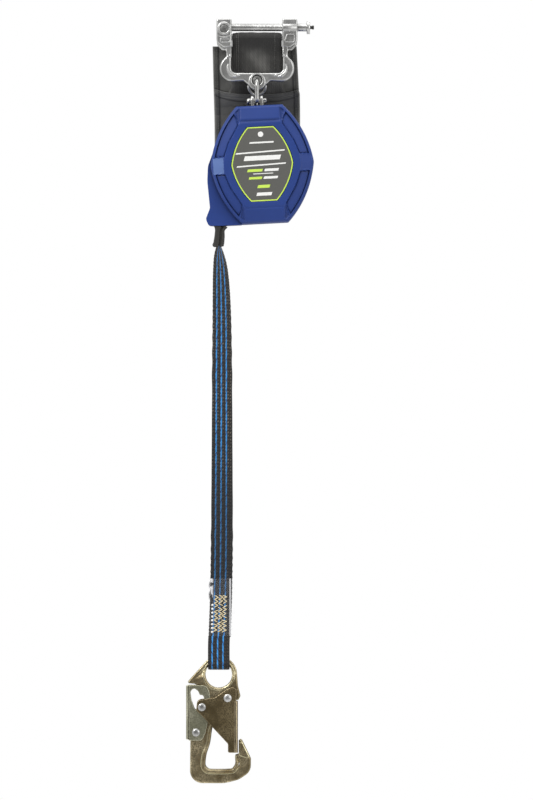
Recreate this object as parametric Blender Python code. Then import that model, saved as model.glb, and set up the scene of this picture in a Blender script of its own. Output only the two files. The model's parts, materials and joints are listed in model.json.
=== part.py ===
"""Self retracting lifeline with a dorsal connector, an absorber pouch and a snap hook.

Lengths below are in millimetres and become metres when a mesh is made. The origin is the
middle of the locking pin, +X runs along the pin to its push button, +Z is up and the front
of the device faces -Y.
"""

import math

import bmesh
import bpy
from mathutils import Matrix, Vector

MM = 0.001
GAP = 0.3  # clearance between touching pieces

# Dorsal connector
PIN_R = 3.75
PIN_TIP_X = -31.0
PIN_END_X = 53.0
EAR_IN_X = 25.3
EAR_OUT_X = 40.5
WINDOW_X = 25.8
EAR_TOP_Z = 8.5
EAR_HALF_Y = 8.0
EAR_HOLE_R = 4.4
YOKE_HALF_Y = 5.0
BUTTON_R = 1.9
BORE_R = 2.3
BALL_X = -27.8
BALL_R = 1.6
BAR_Z = -10.0
BAR_R = 2.9
EYE_Z = -52.7
EYE_R = 5.2
KEEPER_Y = 12.0
KEEPER_R = 0.8

# Strap and pouch
STRAP_HALF_X = 24.8
STRAP_THICK = 1.9

# Link between the yoke and the device
LINK_WIRE_R = 2.2
LINK_HALF_Y = 8.3
LINK_TOP_Z = -51.6

# Device: the frame is centred on the drum axis and leans by TILT about Y
HANG_Z = -73.3
DRUM_X = 5.3
DRUM_Z = -137.5
TILT = math.radians(3.0)
FRONT_Y = -26.4
PART_Y = -2.2
REAR_Y = 28.0
WALL = 2.4
CAVITY_FRONT_Y = -21.6
CAVITY_REAR_Y = 25.9
TAIL_FRONT_Y = -13.4
EXIT_U = -46.4
SCREW_U = 18.0
SCREW_V = 44.0
SPACER_U = 31.5
SPACER_V = 33.5
FRONT_PLATE_Y = (-20.4, -18.2)
REAR_PLATE_Y = (14.0, 16.2)
PLATE_HALF_U = 36.5
PLATE_HALF_V = 38.5

# Shield outlines of the device: (half top width, top height, bow point, half side width)
BODY_SHIELD = (23.0, 58.5, (41.4, 33.0), 51.5)
LABEL_SHIELD = (13.0, 37.0, (23.5, 22.0), 30.7)

# Drum
AXLE_R = 5.0
WEB_HALF = 11.0
WEB_THICK = 1.8
COIL_R = 39.0
HUB_R = 17.8
FLANGE_R = 41.0
FLANGE_Y = (11.5, 13.3)
PAWL_PIVOT_R = 27.0
TEETH = 12
TOOTH_TIP_R = 34.5
TOOTH_ROOT_R = 39.5
TOOTH_FACE_DEG = 24.0

# Lifeline and snap hook
LINE_X = -38.2
SLEEVE_TOP_Z = -199.4
SLEEVE_BOTTOM_Z = -218.6
SPLICE_TOP_Z = -551.0
LOOP_TOP_Z = -609.4
TWIST_LENGTH = 45.0
HOOK_X = -38.2
HOOK_Z = -646.9
HOOK_EYE_R = 13.2
HOOK_RING_R = 18.3
HOOK_RING_HALF_Y = 2.9
HOOK_HALF_Y = 5.5
HOOK_SWING_Z = 12.8
RIVET_A = (8.9, -23.2)
RIVET_B = (-16.8, -32.3)
RIVET_C = (-22.7, -57.7)
LEVER_Y = (5.9, 7.4)
GATE_Y = (7.8, 9.4)

BLUE = (0.036, 0.066, 0.25)
STEEL = (0.56, 0.56, 0.55)
ZINC = (0.36, 0.29, 0.16)
BRONZE = (0.12, 0.09, 0.045)
BLACK = (0.012, 0.012, 0.012)


def clear_scene():
    for obj in list(bpy.data.objects):
        bpy.data.objects.remove(obj, do_unlink=True)


def material(name, color, roughness, metallic=0.0):
    mat = bpy.data.materials.new(name)
    mat.use_nodes = True
    shader = mat.node_tree.nodes["Principled BSDF"]
    shader.inputs["Base Color"].default_value = (*color, 1.0)
    shader.inputs["Roughness"].default_value = roughness
    shader.inputs["Metallic"].default_value = metallic
    return mat


def add_empty(name, place, parent=None, lean=0.0):
    """An empty at a joint's axis, given in its parent's frame."""
    empty = bpy.data.objects.new(name, None)
    bpy.context.scene.collection.objects.link(empty)
    empty.parent = parent
    empty.location = Vector(place) * MM
    empty.rotation_euler = (0.0, lean, 0.0)
    return empty


def add_object(name, bm, finish=None, parent=None, pivot=(0.0, 0.0, 0.0)):
    """Makes a node from a bmesh in the parent's frame, with its origin at the pivot."""
    color, roughness, metallic = finish or ((0.5, 0.5, 0.5), 0.5, 0.0)
    bmesh.ops.remove_doubles(bm, verts=bm.verts, dist=1e-4)
    bmesh.ops.recalc_face_normals(bm, faces=bm.faces)
    bmesh.ops.translate(bm, vec=-Vector(pivot), verts=bm.verts)
    bmesh.ops.scale(bm, vec=(MM, MM, MM), verts=bm.verts)
    mesh = bpy.data.meshes.new(name)
    bm.to_mesh(mesh)
    bm.free()
    mesh.materials.append(material(name, color, roughness, metallic))
    mesh.shade_smooth()
    mesh.set_sharp_from_angle(angle=math.radians(35))
    obj = bpy.data.objects.new(name, mesh)
    bpy.context.scene.collection.objects.link(obj)
    obj.parent = parent
    obj.location = Vector(pivot) * MM
    return obj


def boolean(target, operation, bm):
    """Cuts the bmesh's solid from the target, or joins it on."""
    tool = add_object(f"cutter_{target.name}_{len(target.modifiers)}", bm, parent=target.parent)
    tool.hide_render = True
    tool.display_type = "WIRE"
    step = target.modifiers.new(operation.lower(), "BOOLEAN")
    step.operation = operation
    step.object = tool


def cut(target, *solids):
    for bm in solids:
        boolean(target, "DIFFERENCE", bm)


def join(target, *solids):
    for bm in solids:
        boolean(target, "UNION", bm)


def spot(axis, across, up, along):
    """A point with the given depth along an axis; the other two run in the order X, Y, Z."""
    if axis == "Y":
        return Vector((across, along, up))
    if axis == "X":
        return Vector((along, across, up))
    return Vector((across, up, along))


def skin(rings, closed=False):
    """A closed solid through rings of equal length."""
    bm = bmesh.new()
    loops = [[bm.verts.new(point) for point in ring] for ring in rings]
    pairs = list(zip(loops, loops[1:]))
    if closed:
        pairs.append((loops[-1], loops[0]))
    else:
        bm.faces.new(loops[0][::-1])
        bm.faces.new(loops[-1])
    count = len(rings[0])
    for low, high in pairs:
        for i in range(count):
            j = (i + 1) % count
            bm.faces.new((low[i], low[j], high[j], high[i]))
    return bm


def prism(outline, start, end, axis="Y"):
    return skin([[spot(axis, a, b, depth) for a, b in outline] for depth in (start, end)])


def loft(sections):
    """A solid through (depth along Y, outline) sections."""
    return skin([[spot("Y", a, b, depth) for a, b in outline] for depth, outline in sections])


def box(x, y, z):
    return prism([(x[0], z[0]), (x[1], z[0]), (x[1], z[1]), (x[0], z[1])], y[0], y[1])


def circle(a, b, radius, steps=24, start=0.0, sweep=360.0):
    """Points of an arc. A full circle leaves out its last point, which is its first."""
    count = steps if sweep >= 360.0 else steps + 1
    angles = [math.radians(start + sweep * i / steps) for i in range(count)]
    return [(a + radius * math.cos(t), b + radius * math.sin(t)) for t in angles]


def disc(a, b, radius, start, end, axis="Y", steps=24):
    return prism(circle(a, b, radius, steps), start, end, axis)


def turned(profile, a, b, axis="Y", steps=32):
    """A solid of revolution about an axis line through (a, b), from a closed (depth, radius) profile."""
    rings = []
    for i in range(steps):
        angle = 2 * math.pi * i / steps
        ring = [
            spot(axis, a + r * math.cos(angle), b + r * math.sin(angle), depth)
            for depth, r in profile
        ]
        rings.append(ring)
    return skin(rings, closed=True)


def washer(a, b, inner, outer, start, end, axis="Y", steps=32):
    return turned([(start, inner), (end, inner), (end, outer), (start, outer)], a, b, axis, steps)


def rounded(corners, step=25.0):
    """An outline from (a, b) or (a, b, fillet radius) corners."""
    outline = []
    for i, corner in enumerate(corners):
        here = Vector(corner[:2])
        radius = corner[2] if len(corner) > 2 else 0.0
        if not radius:
            outline.append(tuple(here))
            continue
        back = (Vector(corners[i - 1][:2]) - here).normalized()
        ahead = (Vector(corners[(i + 1) % len(corners)][:2]) - here).normalized()
        half = back.angle(ahead) / 2
        centre = here + (back + ahead).normalized() * radius / math.sin(half)
        first = here + back * radius / math.tan(half) - centre
        turn = math.pi - 2 * half
        if back.cross(ahead) > 0:
            turn = -turn
        pieces = max(1, round(abs(math.degrees(turn)) / step))
        for k in range(pieces + 1):
            outline.append(tuple(centre + Matrix.Rotation(turn * k / pieces, 2) @ first))
    return outline


def inset(outline, distance):
    """The outline moved inwards by a distance; a negative distance moves it outwards."""
    area = sum(
        outline[i - 1][0] * outline[i][1] - outline[i][0] * outline[i - 1][1]
        for i in range(len(outline))
    )
    side = 1.0 if area > 0 else -1.0
    moved = []
    for i in range(len(outline)):
        here = Vector(outline[i])
        into = (here - Vector(outline[i - 1])).normalized()
        out = (Vector(outline[(i + 1) % len(outline)]) - here).normalized()
        normal_in = Vector((-into.y, into.x)) * side
        normal_out = Vector((-out.y, out.x)) * side
        bisector = (normal_in + normal_out).normalized()
        moved.append(tuple(here + bisector * distance / bisector.dot(normal_in)))
    return moved


def side_circle(shield):
    """Centre and radius of the arc that forms a shield's right side."""
    half_top, top, (bow_u, bow_v), side = shield
    a, b, c = Vector((half_top, top)), Vector((bow_u, bow_v)), Vector((side, 0.0))
    turn = 2 * (a.x * (b.y - c.y) + b.x * (c.y - a.y) + c.x * (a.y - b.y))
    squares = (a.length_squared, b.length_squared, c.length_squared)
    u = (squares[0] * (b.y - c.y) + squares[1] * (c.y - a.y) + squares[2] * (a.y - b.y)) / turn
    v = (squares[0] * (c.x - b.x) + squares[1] * (a.x - c.x) + squares[2] * (b.x - a.x)) / turn
    centre = Vector((u, v))
    return centre, (a - centre).length


def side_at(shield, v):
    """Half width of a shield at a height."""
    centre, radius = side_circle(shield)
    return centre.x + math.sqrt(radius**2 - (abs(v) - centre.y) ** 2)


def shield_outline(shield, steps=5):
    """Flat top and bottom, sides bowed out to the widest point at mid height."""
    top = shield[1]
    heights = [top * (1 - i / steps) for i in range(steps)]
    heights += [-top * i / steps for i in range(steps + 1)]
    right = [(side_at(shield, v), v) for v in heights]
    left = [(-u, v) for u, v in reversed(right)]
    return right + left


def smooth_route(points, per_span=6):
    """A Catmull-Rom curve through the points."""
    ends = [points[0] * 2 - points[1]] + points + [points[-1] * 2 - points[-2]]
    route = []
    for i in range(1, len(ends) - 2):
        p0, p1, p2, p3 = ends[i - 1 : i + 3]
        for k in range(per_span):
            t = k / per_span
            bend = (2 * p0 - 5 * p1 + 4 * p2 - p3) * t**2
            ease = (3 * p1 - p0 - 3 * p2 + p3) * t**3
            route.append((2 * p1 + (p2 - p0) * t + bend + ease) / 2)
    return route + [points[-1]]


def wire(route, radius, sides=8, closed=False):
    """A round wire along a route that lies in a plane."""
    count = len(route)
    plane = (route[1] - route[0]).cross(route[count // 2] - route[0]).normalized()
    rings = []
    for i, point in enumerate(route):
        before = route[i - 1] if closed or i else point
        after = route[(i + 1) % count] if closed or i < count - 1 else point
        across = (after - before).normalized().cross(plane)
        ring = []
        for k in range(sides):
            angle = 2 * math.pi * k / sides
            ring.append(point + radius * (across * math.cos(angle) + plane * math.sin(angle)))
        rings.append(ring)
    return skin(rings, closed)


def ribbon(stations, half_width, half_thick):
    """A flat band through (centre, angle) stations; the angle turns its width from Y to X."""
    rings = []
    for centre, angle in stations:
        wide = Vector((math.sin(angle), math.cos(angle), 0.0)) * half_width
        thick = Vector((math.cos(angle), -math.sin(angle), 0.0)) * half_thick
        rings.append([centre + wide + thick, centre - wide + thick, centre - wide - thick, centre + wide - thick])
    return skin(rings)


# ---------------------------------------------------------------- dorsal connector


def yoke_outline():
    half = [
        (-WINDOW_X, EAR_TOP_Z - 1.0),
        (-EAR_OUT_X + 1.0, EAR_TOP_Z - 1.0),
        (-EAR_OUT_X + 0.3, -17.5, 5.0),
        (-31.8, -23.5, 4.0),
        (-31.8, -29.0, 6.0),
        (-37.4, -39.0, 8.0),
        (-36.0, -49.0, 7.0),
        (-27.0, -54.4, 4.0),
        (-13.0, -53.6, 4.0),
        (-6.0, -60.0, 4.0),
    ]
    right = [(-p[0], *p[1:]) for p in reversed(half)]
    window = [(WINDOW_X, -45.5, 5.0), (-WINDOW_X, -45.5, 5.0)]
    return rounded(half + [(0.0, -62.4, 6.0)] + right + window)


def build_yoke():
    yoke = add_object("yoke", prism(yoke_outline(), -YOKE_HALF_Y, YOKE_HALF_Y), (STEEL, 0.35, 0.9))
    for side in (-1, 1):
        corners = [(EAR_IN_X, -15.0), (EAR_OUT_X, -15.0, 2.0), (EAR_OUT_X, EAR_TOP_Z, 2.5)]
        corners.append((EAR_IN_X, EAR_TOP_Z))
        ear = rounded([(side * c[0], *c[1:]) for c in corners])
        join(yoke, prism(ear, -EAR_HALF_Y, EAR_HALF_Y))
        cut(yoke, disc(0.0, BAR_Z, BAR_R + GAP, side * (EAR_IN_X - 1), side * (EAR_IN_X + 4), "X", 16))
    join(yoke, disc(-32.9, -1.5, 7.2, -EAR_HALF_Y - 2.0, -EAR_HALF_Y + 2.0))
    cut(yoke, disc(-32.9, -1.5, 5.0, -EAR_HALF_Y - 3.0, -EAR_HALF_Y - 0.8))
    join(yoke, disc(0.0, EYE_Z - 1.6, 8.6, -YOKE_HALF_Y - 0.5, YOKE_HALF_Y + 0.5))
    cut(yoke, disc(0.0, EYE_Z, EYE_R, -10.0, 10.0))
    cut(yoke, disc(0.0, 0.0, EAR_HOLE_R, PIN_TIP_X - 3.0, EAR_OUT_X + 2.0, "X"))
    return yoke


def build_locking_pin():
    profile = [
        (PIN_TIP_X, 0.6),
        (PIN_TIP_X, PIN_R - 1.0),
        (PIN_TIP_X + 1.2, PIN_R),
        (EAR_OUT_X - 6.0, PIN_R),
        (EAR_OUT_X - 5.0, 4.0),
        (49.5, 4.0),
        (49.8, 6.6),
        (PIN_END_X, 6.6),
        (PIN_END_X, BORE_R),
        (15.5, BORE_R),
        (15.5, 0.6),
    ]
    pin = add_object("locking_pin", turned(profile, 0.0, 0.0, "X", 24), (STEEL, 0.25, 1.0))
    cut(pin, disc(BALL_X, 0.0, BALL_R + GAP, -6.0, 6.0, "Y", 16))


def build_pin_inside():
    for name, side in (("detent_ball_front", -1), ("detent_ball_rear", 1)):
        ball = bmesh.new()
        place = Matrix.Translation((BALL_X, side * 2.4, 0.0))
        bmesh.ops.create_icosphere(ball, subdivisions=2, radius=BALL_R, matrix=place)
        add_object(name, ball, (STEEL, 0.2, 1.0))
    coil = washer(0.0, 0.0, 1.0, BORE_R - GAP, 16.0, 19.2, "X", 16)
    add_object("button_spring", coil, (STEEL, 0.4, 1.0))
    profile = [(22.0, 0.0), (22.0, BUTTON_R), (56.0, BUTTON_R), (57.0, 1.4), (57.0, 0.0)]
    add_object("pin_button", turned(profile, 0.0, 0.0, "X", 16), ((0.05, 0.05, 0.05), 0.4, 0.6))


def build_strap_bar():
    bar = disc(0.0, BAR_Z, BAR_R, -EAR_IN_X - 3.5, EAR_IN_X + 3.5, "X", 16)
    add_object("strap_bar", bar, (STEEL, 0.3, 1.0))


def build_keeper():
    """Wire arc behind the boss, its two ends turned forward to the crossbar."""
    reach, drop = 8.6, 9.0
    lead_in = YOKE_HALF_Y + GAP + KEEPER_R
    route = []
    for i in range(13):
        angle = math.radians(180 + 15 * i)
        lean = KEEPER_Y - (KEEPER_Y - lead_in) * abs(math.cos(angle)) ** 6
        route.append(Vector((reach * math.cos(angle), lean, -57.6 + drop * math.sin(angle))))
    add_object("keeper_wire", wire(route, KEEPER_R, 8), (STEEL, 0.3, 1.0))


# ---------------------------------------------------------------- strap and pouch


def build_strap():
    """A doubled band over the strap bar that runs down behind the crossbar into the pouch."""
    outer_r = BAR_R + 0.4 + STRAP_THICK
    over = circle(0.0, BAR_Z, outer_r, 10, 200.0, -180.0)
    outline = over + [(17.3, -50.5), (23.8, -66.0), (33.4, -77.0), (39.4, -85.0)]
    outline += [(35.8, -86.6), (29.6, -78.0), (20.0, -66.5), (13.3, -52.0)]
    strap = add_object(
        "connector_strap", prism(outline, -STRAP_HALF_X, STRAP_HALF_X, "X"), (BLACK, 0.85, 0.0)
    )
    eye = circle(0.0, BAR_Z, BAR_R + 0.4, 8, 200.0, -180.0) + [(12.9, -44.0), (12.3, -44.6)]
    cut(strap, prism(eye, -40.0, 40.0, "X"))


def slab(sections):
    """A solid through (z, x range, y range) sections."""
    rings = []
    for z, x, y in sections:
        corners = ((x[0], y[0]), (x[1], y[0]), (x[1], y[1]), (x[0], y[1]))
        rings.append([Vector((a, b, z)) for a, b in corners])
    return skin(rings)


def build_pouch():
    outer = [
        (-19.5, (-44.5, 39.8), (9.5, 13.0)),
        (-62.0, (-43.6, 42.2), (22.0, 26.5)),
        (-65.0, (-43.5, 43.0), (16.6, 30.0)),
        (-78.0, (-43.2, 43.3), (26.4, 41.0)),
        (-86.0, (-43.0, 43.4), (30.8, 46.5)),
        (-100.0, (-42.8, 43.4), (30.6, 49.5)),
        (-160.0, (-42.5, 43.4), (30.6, 49.5)),
        (-168.0, (-40.0, 41.0), (32.0, 45.0)),
    ]
    pouch = add_object("absorber_pouch", slab(outer), (BLACK, 0.9, 0.0))
    inside = [
        (-60.0, (-27.0, 27.0), (13.0, 21.2)),
        (-65.0, (-27.0, 27.0), (18.3, 28.0)),
        (-78.0, (-27.0, 27.0), (28.1, 39.2)),
        (-86.0, (-27.0, 27.0), (32.5, 44.7)),
        (-98.0, (-27.0, 27.0), (32.3, 47.4)),
        (-150.0, (-27.0, 27.0), (32.3, 47.4)),
    ]
    cut(pouch, slab(inside))
    fold = slab([(z, (-24.0, 24.0), (33.0, 46.0)) for z in (-99.0, -146.0)])
    add_object("tear_webbing", fold, ((0.25, 0.22, 0.16), 0.85, 0.0))


# ---------------------------------------------------------------- link and clevis


def build_link():
    bottom_z = HANG_Z - 2.4 - 0.35 - LINK_WIRE_R
    pivot = (0.0, 0.0, LINK_TOP_Z)
    upper = circle(0.0, LINK_TOP_Z - LINK_HALF_Y, LINK_HALF_Y, 12, 0.0, 180.0)
    lower = circle(0.0, bottom_z + LINK_HALF_Y, LINK_HALF_Y, 12, 180.0, 180.0)
    route = [Vector((0.0, y, z)) for y, z in upper + lower]
    link = wire(route, LINK_WIRE_R, 10, closed=True)
    add_object("swivel_link", link, (STEEL, 0.3, 1.0), pivot=pivot)


def hang_point():
    """The hang bolt's place in the device's leaning frame."""
    across, up = -DRUM_X, HANG_Z - DRUM_Z
    u = across * math.cos(TILT) + up * math.sin(TILT)
    v = up * math.cos(TILT) - across * math.sin(TILT)
    return u, v


def build_clevis(frame):
    u, v = hang_point()
    base = box((u - 10.0, u + 10.0), (FRONT_PLATE_Y[1] + GAP, REAR_PLATE_Y[0] - GAP), (43.6, 53.0))
    clevis = add_object("clevis", base, (STEEL, 0.35, 0.9), frame)
    for side in (-1, 1):
        ear = circle(0.0, v, 6.0, 10, 0.0, 180.0) + [(-6.0, 50.0), (6.0, 50.0)]
        join(clevis, prism(ear, u + side * 3.0, u + side * 6.0, "X"))
    cut(clevis, disc(0.0, v, 2.4 + GAP, u - 20.0, u + 20.0, "X", 16))
    head = [(-10.3, 0.0), (-10.3, 2.6), (-9.3, 3.6), (-6.3, 3.6), (-6.3, 2.4), (9.4, 2.4), (9.4, 0.0)]
    profile = [(u + along, r) for along, r in head]
    add_object("hang_bolt", turned(profile, 0.0, v, "X", 16), (STEEL, 0.3, 1.0), frame)
    nut = add_object(
        "hang_nut", disc(0.0, v, 3.9, u + 6.3, u + 9.0, "X", 6), (STEEL, 0.35, 1.0), frame
    )
    cut(nut, disc(0.0, v, 2.4 + GAP, u, u + 20.0, "X", 16))


# ---------------------------------------------------------------- device casing


def tail_outline():
    corners = [
        (-30.0, 10.0),
        (-51.2, 12.5),
        (-54.0, 2.0, 20.0),
        (-55.2, -14.0, 30.0),
        (-53.9, -41.0, 8.0),
        (-58.6, -50.0, 4.5),
        (-56.8, -56.6, 4.0),
        (-46.0, -58.4),
        (-24.0, -58.5),
        (-10.0, -45.0),
    ]
    return rounded(corners)


def pad_outline(side, above, low, high, grow_in, shrink_out):
    """A recessed pad between the label's land and the body's edge, from one height to another."""
    inner = LABEL_SHIELD
    lows = [low + (high - low) * i / 4 for i in range(5)]
    near = [(side_at(inner, min(v, inner[1])) + grow_in, v) for v in lows if v < inner[1]]
    far = [(side_at(BODY_SHIELD, v) - shrink_out, v) for v in lows]
    corner = [(near[-1][0] - 3.5, min(high - 9.0, inner[1] + 4.0))] if high > inner[1] else []
    return [(side * u, above * v) for u, v in near + corner + far[::-1]]


def build_front_cover(frame):
    body = shield_outline(BODY_SHIELD)
    land = inset(shield_outline(LABEL_SHIELD), -7.5)
    outer = [
        (PART_Y - GAP, body),
        (-20.9, inset(body, 0.8)),
        (-23.7, inset(body, 3.0)),
        (FRONT_Y, land),
    ]
    cover = add_object("front_cover", loft(outer), (BLUE, 0.45, 0.0), frame)
    cut(cover, loft([(10.0, inset(body, WALL)), (CAVITY_FRONT_Y, inset(body, WALL + 0.8))]))
    cut(cover, prism(inset(tail_outline(), -GAP), TAIL_FRONT_Y - GAP, 10.0))
    cut(cover, prism(inset(shield_outline(LABEL_SHIELD), -0.5), FRONT_Y - 1.0, FRONT_Y + 1.1))
    for side in (-1, 1):
        for above in (-1, 1):
            pad = pad_outline(side, above, 8.2, 50.0, 8.5, 4.0)
            cut(cover, prism(pad, FRONT_Y - 2.0, -23.2))
            boss = disc(side * SCREW_U, above * SCREW_V, 4.0, CAVITY_FRONT_Y - 0.5, PART_Y - GAP, steps=16)
            join(cover, boss)
            hole = disc(side * SCREW_U, above * SCREW_V, 2.1, -14.0, 10.0, steps=16)
            cut(cover, hole)
        band = [(-18.0, side * 54.0), (18.0, side * 54.0), (15.5, side * 47.0), (-15.5, side * 47.0)]
        cut(cover, prism(band, FRONT_Y - 2.0, -23.6))
    cut(cover, top_slot())
    plate = prism(shield_outline(LABEL_SHIELD), FRONT_Y + 0.2, FRONT_Y + 0.8)
    add_object("label_plate", plate, ((0.1, 0.1, 0.09), 0.5, 0.0), frame)


def top_slot():
    """Opening in the casing's top for the clevis and the link."""
    u, _ = hang_point()
    return box((u - 11.5, u + 11.5), (-13.0, 13.0), (50.0, 70.0))


def build_rear_cover(frame):
    body = shield_outline(BODY_SHIELD)
    outer = [(PART_Y, body), (REAR_Y - 11.4, body), (REAR_Y, inset(body, 9.0))]
    cover = add_object("rear_cover", loft(outer), (BLUE, 0.5, 0.0), frame)
    tail = tail_outline()
    join(cover, loft([(TAIL_FRONT_Y, tail), (REAR_Y - 7.0, tail), (REAR_Y - 3.0, inset(tail, 3.5))]))
    inner = inset(body, WALL)
    cut(cover, loft([(-30.0, inner), (REAR_Y - 12.2, inner), (CAVITY_REAR_Y, inset(body, 10.0))]))
    cut(cover, prism(inset(tail, WALL), TAIL_FRONT_Y + 1.8, REAR_Y - 6.0))
    cut(cover, box((EXIT_U - 4.0, EXIT_U + 4.0), (-12.6, 12.6), (-75.0, -50.0)))
    cut(cover, top_slot())
    for side in (-1, 1):
        for above in (-1, 1):
            u, v = side * SCREW_U, above * SCREW_V
            join(cover, disc(u, v, 4.0, PART_Y, REAR_Y - 1.0, steps=16))
            cut(cover, disc(u, v, 2.1, -30.0, 60.0, steps=16))
            cut(cover, disc(u, v, 3.8, REAR_Y - 2.8, 60.0, steps=16))
            name = f"cover_screw_{('lower' if above < 0 else 'upper')}_{('left' if side < 0 else 'right')}"
            head = REAR_Y - 2.5
            profile = [(-12.0, 0.0), (-12.0, 1.8), (head, 1.8), (head, 3.4), (head + 2.0, 3.4), (head + 2.0, 0.0)]
            add_object(name, turned(profile, u, v, "Y", 12), (STEEL, 0.4, 1.0), frame)


def build_nozzle(frame):
    guide = box((EXIT_U - 3.7, EXIT_U + 3.7), (-12.3, 12.3), (-58.6, -51.0))
    nozzle = add_object("nozzle_guide", guide, ((0.02, 0.02, 0.02), 0.5, 0.0), frame)
    cut(nozzle, box((EXIT_U - 1.9, EXIT_U + 2.3), (-11.5, 11.5), (-75.0, -40.0)))


def build_frame_plates(frame):
    u, v = hang_point()
    tab = [(u + 11.0, 53.0), (u + 11.0, PLATE_HALF_V)]
    corners = [(PLATE_HALF_U, PLATE_HALF_V, 5.0), (PLATE_HALF_U, -PLATE_HALF_V, 5.0)]
    corners += [(-PLATE_HALF_U, -PLATE_HALF_V, 5.0), (-PLATE_HALF_U, PLATE_HALF_V, 5.0)]
    outline = rounded(tab + corners + [(u - 11.0, PLATE_HALF_V), (u - 11.0, 53.0)])
    for name, depth, hole_r in (
        ("front_frame_plate", FRONT_PLATE_Y, AXLE_R + GAP),
        ("rear_frame_plate", REAR_PLATE_Y, 8.7),
    ):
        plate = add_object(name, prism(outline, *depth), (STEEL, 0.4, 0.9), frame)
        cut(plate, disc(0.0, 0.0, hole_r, -40.0, 40.0))
    places = (("upper_left", -1, 1), ("upper_right", 1, 1), ("lower_left", -1, -1), ("lower_right", 1, -1))
    for name, side, above in places:
        span = (FRONT_PLATE_Y[1] + GAP, REAR_PLATE_Y[0] - GAP)
        spacer = disc(side * SPACER_U, above * SPACER_V, 2.6, *span, steps=12)
        add_object(f"spacer_{name}", spacer, (STEEL, 0.4, 0.9), frame)


# ---------------------------------------------------------------- drum and brake


def build_axle(frame):
    profile = [
        (FRONT_PLATE_Y[0] - 0.9, 0.0),
        (FRONT_PLATE_Y[0] - 0.9, 8.0),
        (FRONT_PLATE_Y[0] - GAP, 8.0),
        (FRONT_PLATE_Y[0] - GAP, AXLE_R),
        (CAVITY_REAR_Y - 0.5, AXLE_R),
        (CAVITY_REAR_Y - 0.5, 0.0),
    ]
    add_object("drum_axle", turned(profile, 0.0, 0.0, "Y", 24), (STEEL, 0.25, 1.0), frame)


def build_drum(frame):
    plastic = ((0.03, 0.03, 0.035), 0.5, 0.0)
    half = FLANGE_Y[0] - GAP
    bush_r = AXLE_R + GAP, 8.0
    add_object("drum_hub", washer(0, 0, 8.3, HUB_R, -half, half), plastic, frame)
    for name, side in (("front", -1), ("rear", 1)):
        inner, outer = sorted(side * y for y in FLANGE_Y)
        flange = washer(0, 0, 8.3, FLANGE_R, inner, outer, steps=48)
        add_object(f"{name}_flange", flange, (STEEL, 0.4, 0.9), frame)
        near, far = sorted((side * 2.0, side * 13.0))
        bush = washer(0, 0, *bush_r, near, far, steps=24)
        add_object(f"{name}_bush", bush, ((0.5, 0.35, 0.12), 0.4, 0.8), frame)
    coil = washer(0, 0, HUB_R + GAP, COIL_R, -WEB_HALF, WEB_HALF, steps=40)
    add_object("wound_webbing", coil, (BLACK, 0.85, 0.0), frame)
    arbor = washer(0, 0, AXLE_R + GAP, 8.0, FLANGE_Y[1] + GAP, 23.6, steps=24)
    add_object("spring_arbor", arbor, (STEEL, 0.4, 0.9), frame)


def ratchet_outline():
    """Inner edge with saw teeth whose steep faces stop the drum when the line runs out."""
    pitch = 360.0 / TEETH
    outline = []
    for i in range(TEETH):
        face = TOOTH_FACE_DEG + pitch * i
        for angle, radius in ((face, TOOTH_TIP_R), (face + pitch * 0.5, 37.2), (face + pitch - 0.5, TOOTH_ROOT_R)):
            t = math.radians(angle)
            outline.append((radius * math.cos(t), radius * math.sin(t)))
    return outline


def build_brake(frame):
    depth = (FRONT_PLATE_Y[1] + GAP, -FLANGE_Y[1] - 0.4)
    ring = add_object("ratchet_ring", disc(0, 0, 42.8, *depth, steps=40), (STEEL, 0.4, 0.9), frame)
    cut(ring, prism(ratchet_outline(), -40.0, 0.0))
    arm = rounded([(-4.0, -4.0, 3.9), (9.0, -4.0, 2.0), (14.0, 0.0, 0.8), (14.0, 3.5, 0.6), (8.0, 3.9), (-4.0, 4.0, 3.9)])
    for index, bearing in enumerate((0.0, 180.0), 1):
        turn = math.radians(bearing)
        radial = Vector((math.cos(turn), math.sin(turn)))
        along = Vector((-radial.y, radial.x))
        pivot = radial * PAWL_PIVOT_R
        outline = [tuple(pivot + along * a + radial * b) for a, b in arm]
        top = -FLANGE_Y[1] - GAP
        pawl = add_object(
            f"pawl_{index}", prism(outline, top - 2.6, top), (STEEL, 0.35, 0.9), frame, (pivot.x, 0.0, pivot.y)
        )
        cut(pawl, disc(pivot.x, pivot.y, 2.3, -40.0, 0.0, steps=16))
        pin = disc(pivot.x, pivot.y, 2.0, FRONT_PLATE_Y[1] + 0.5, top, steps=16)
        add_object(f"pawl_pin_{index}", pin, (STEEL, 0.3, 1.0), frame)
        spring = washer(pivot.x, pivot.y, 2.3, 3.4, top - 3.9, top - 2.9, steps=16)
        add_object(f"pawl_spring_{index}", spring, (STEEL, 0.4, 1.0), frame)


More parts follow.
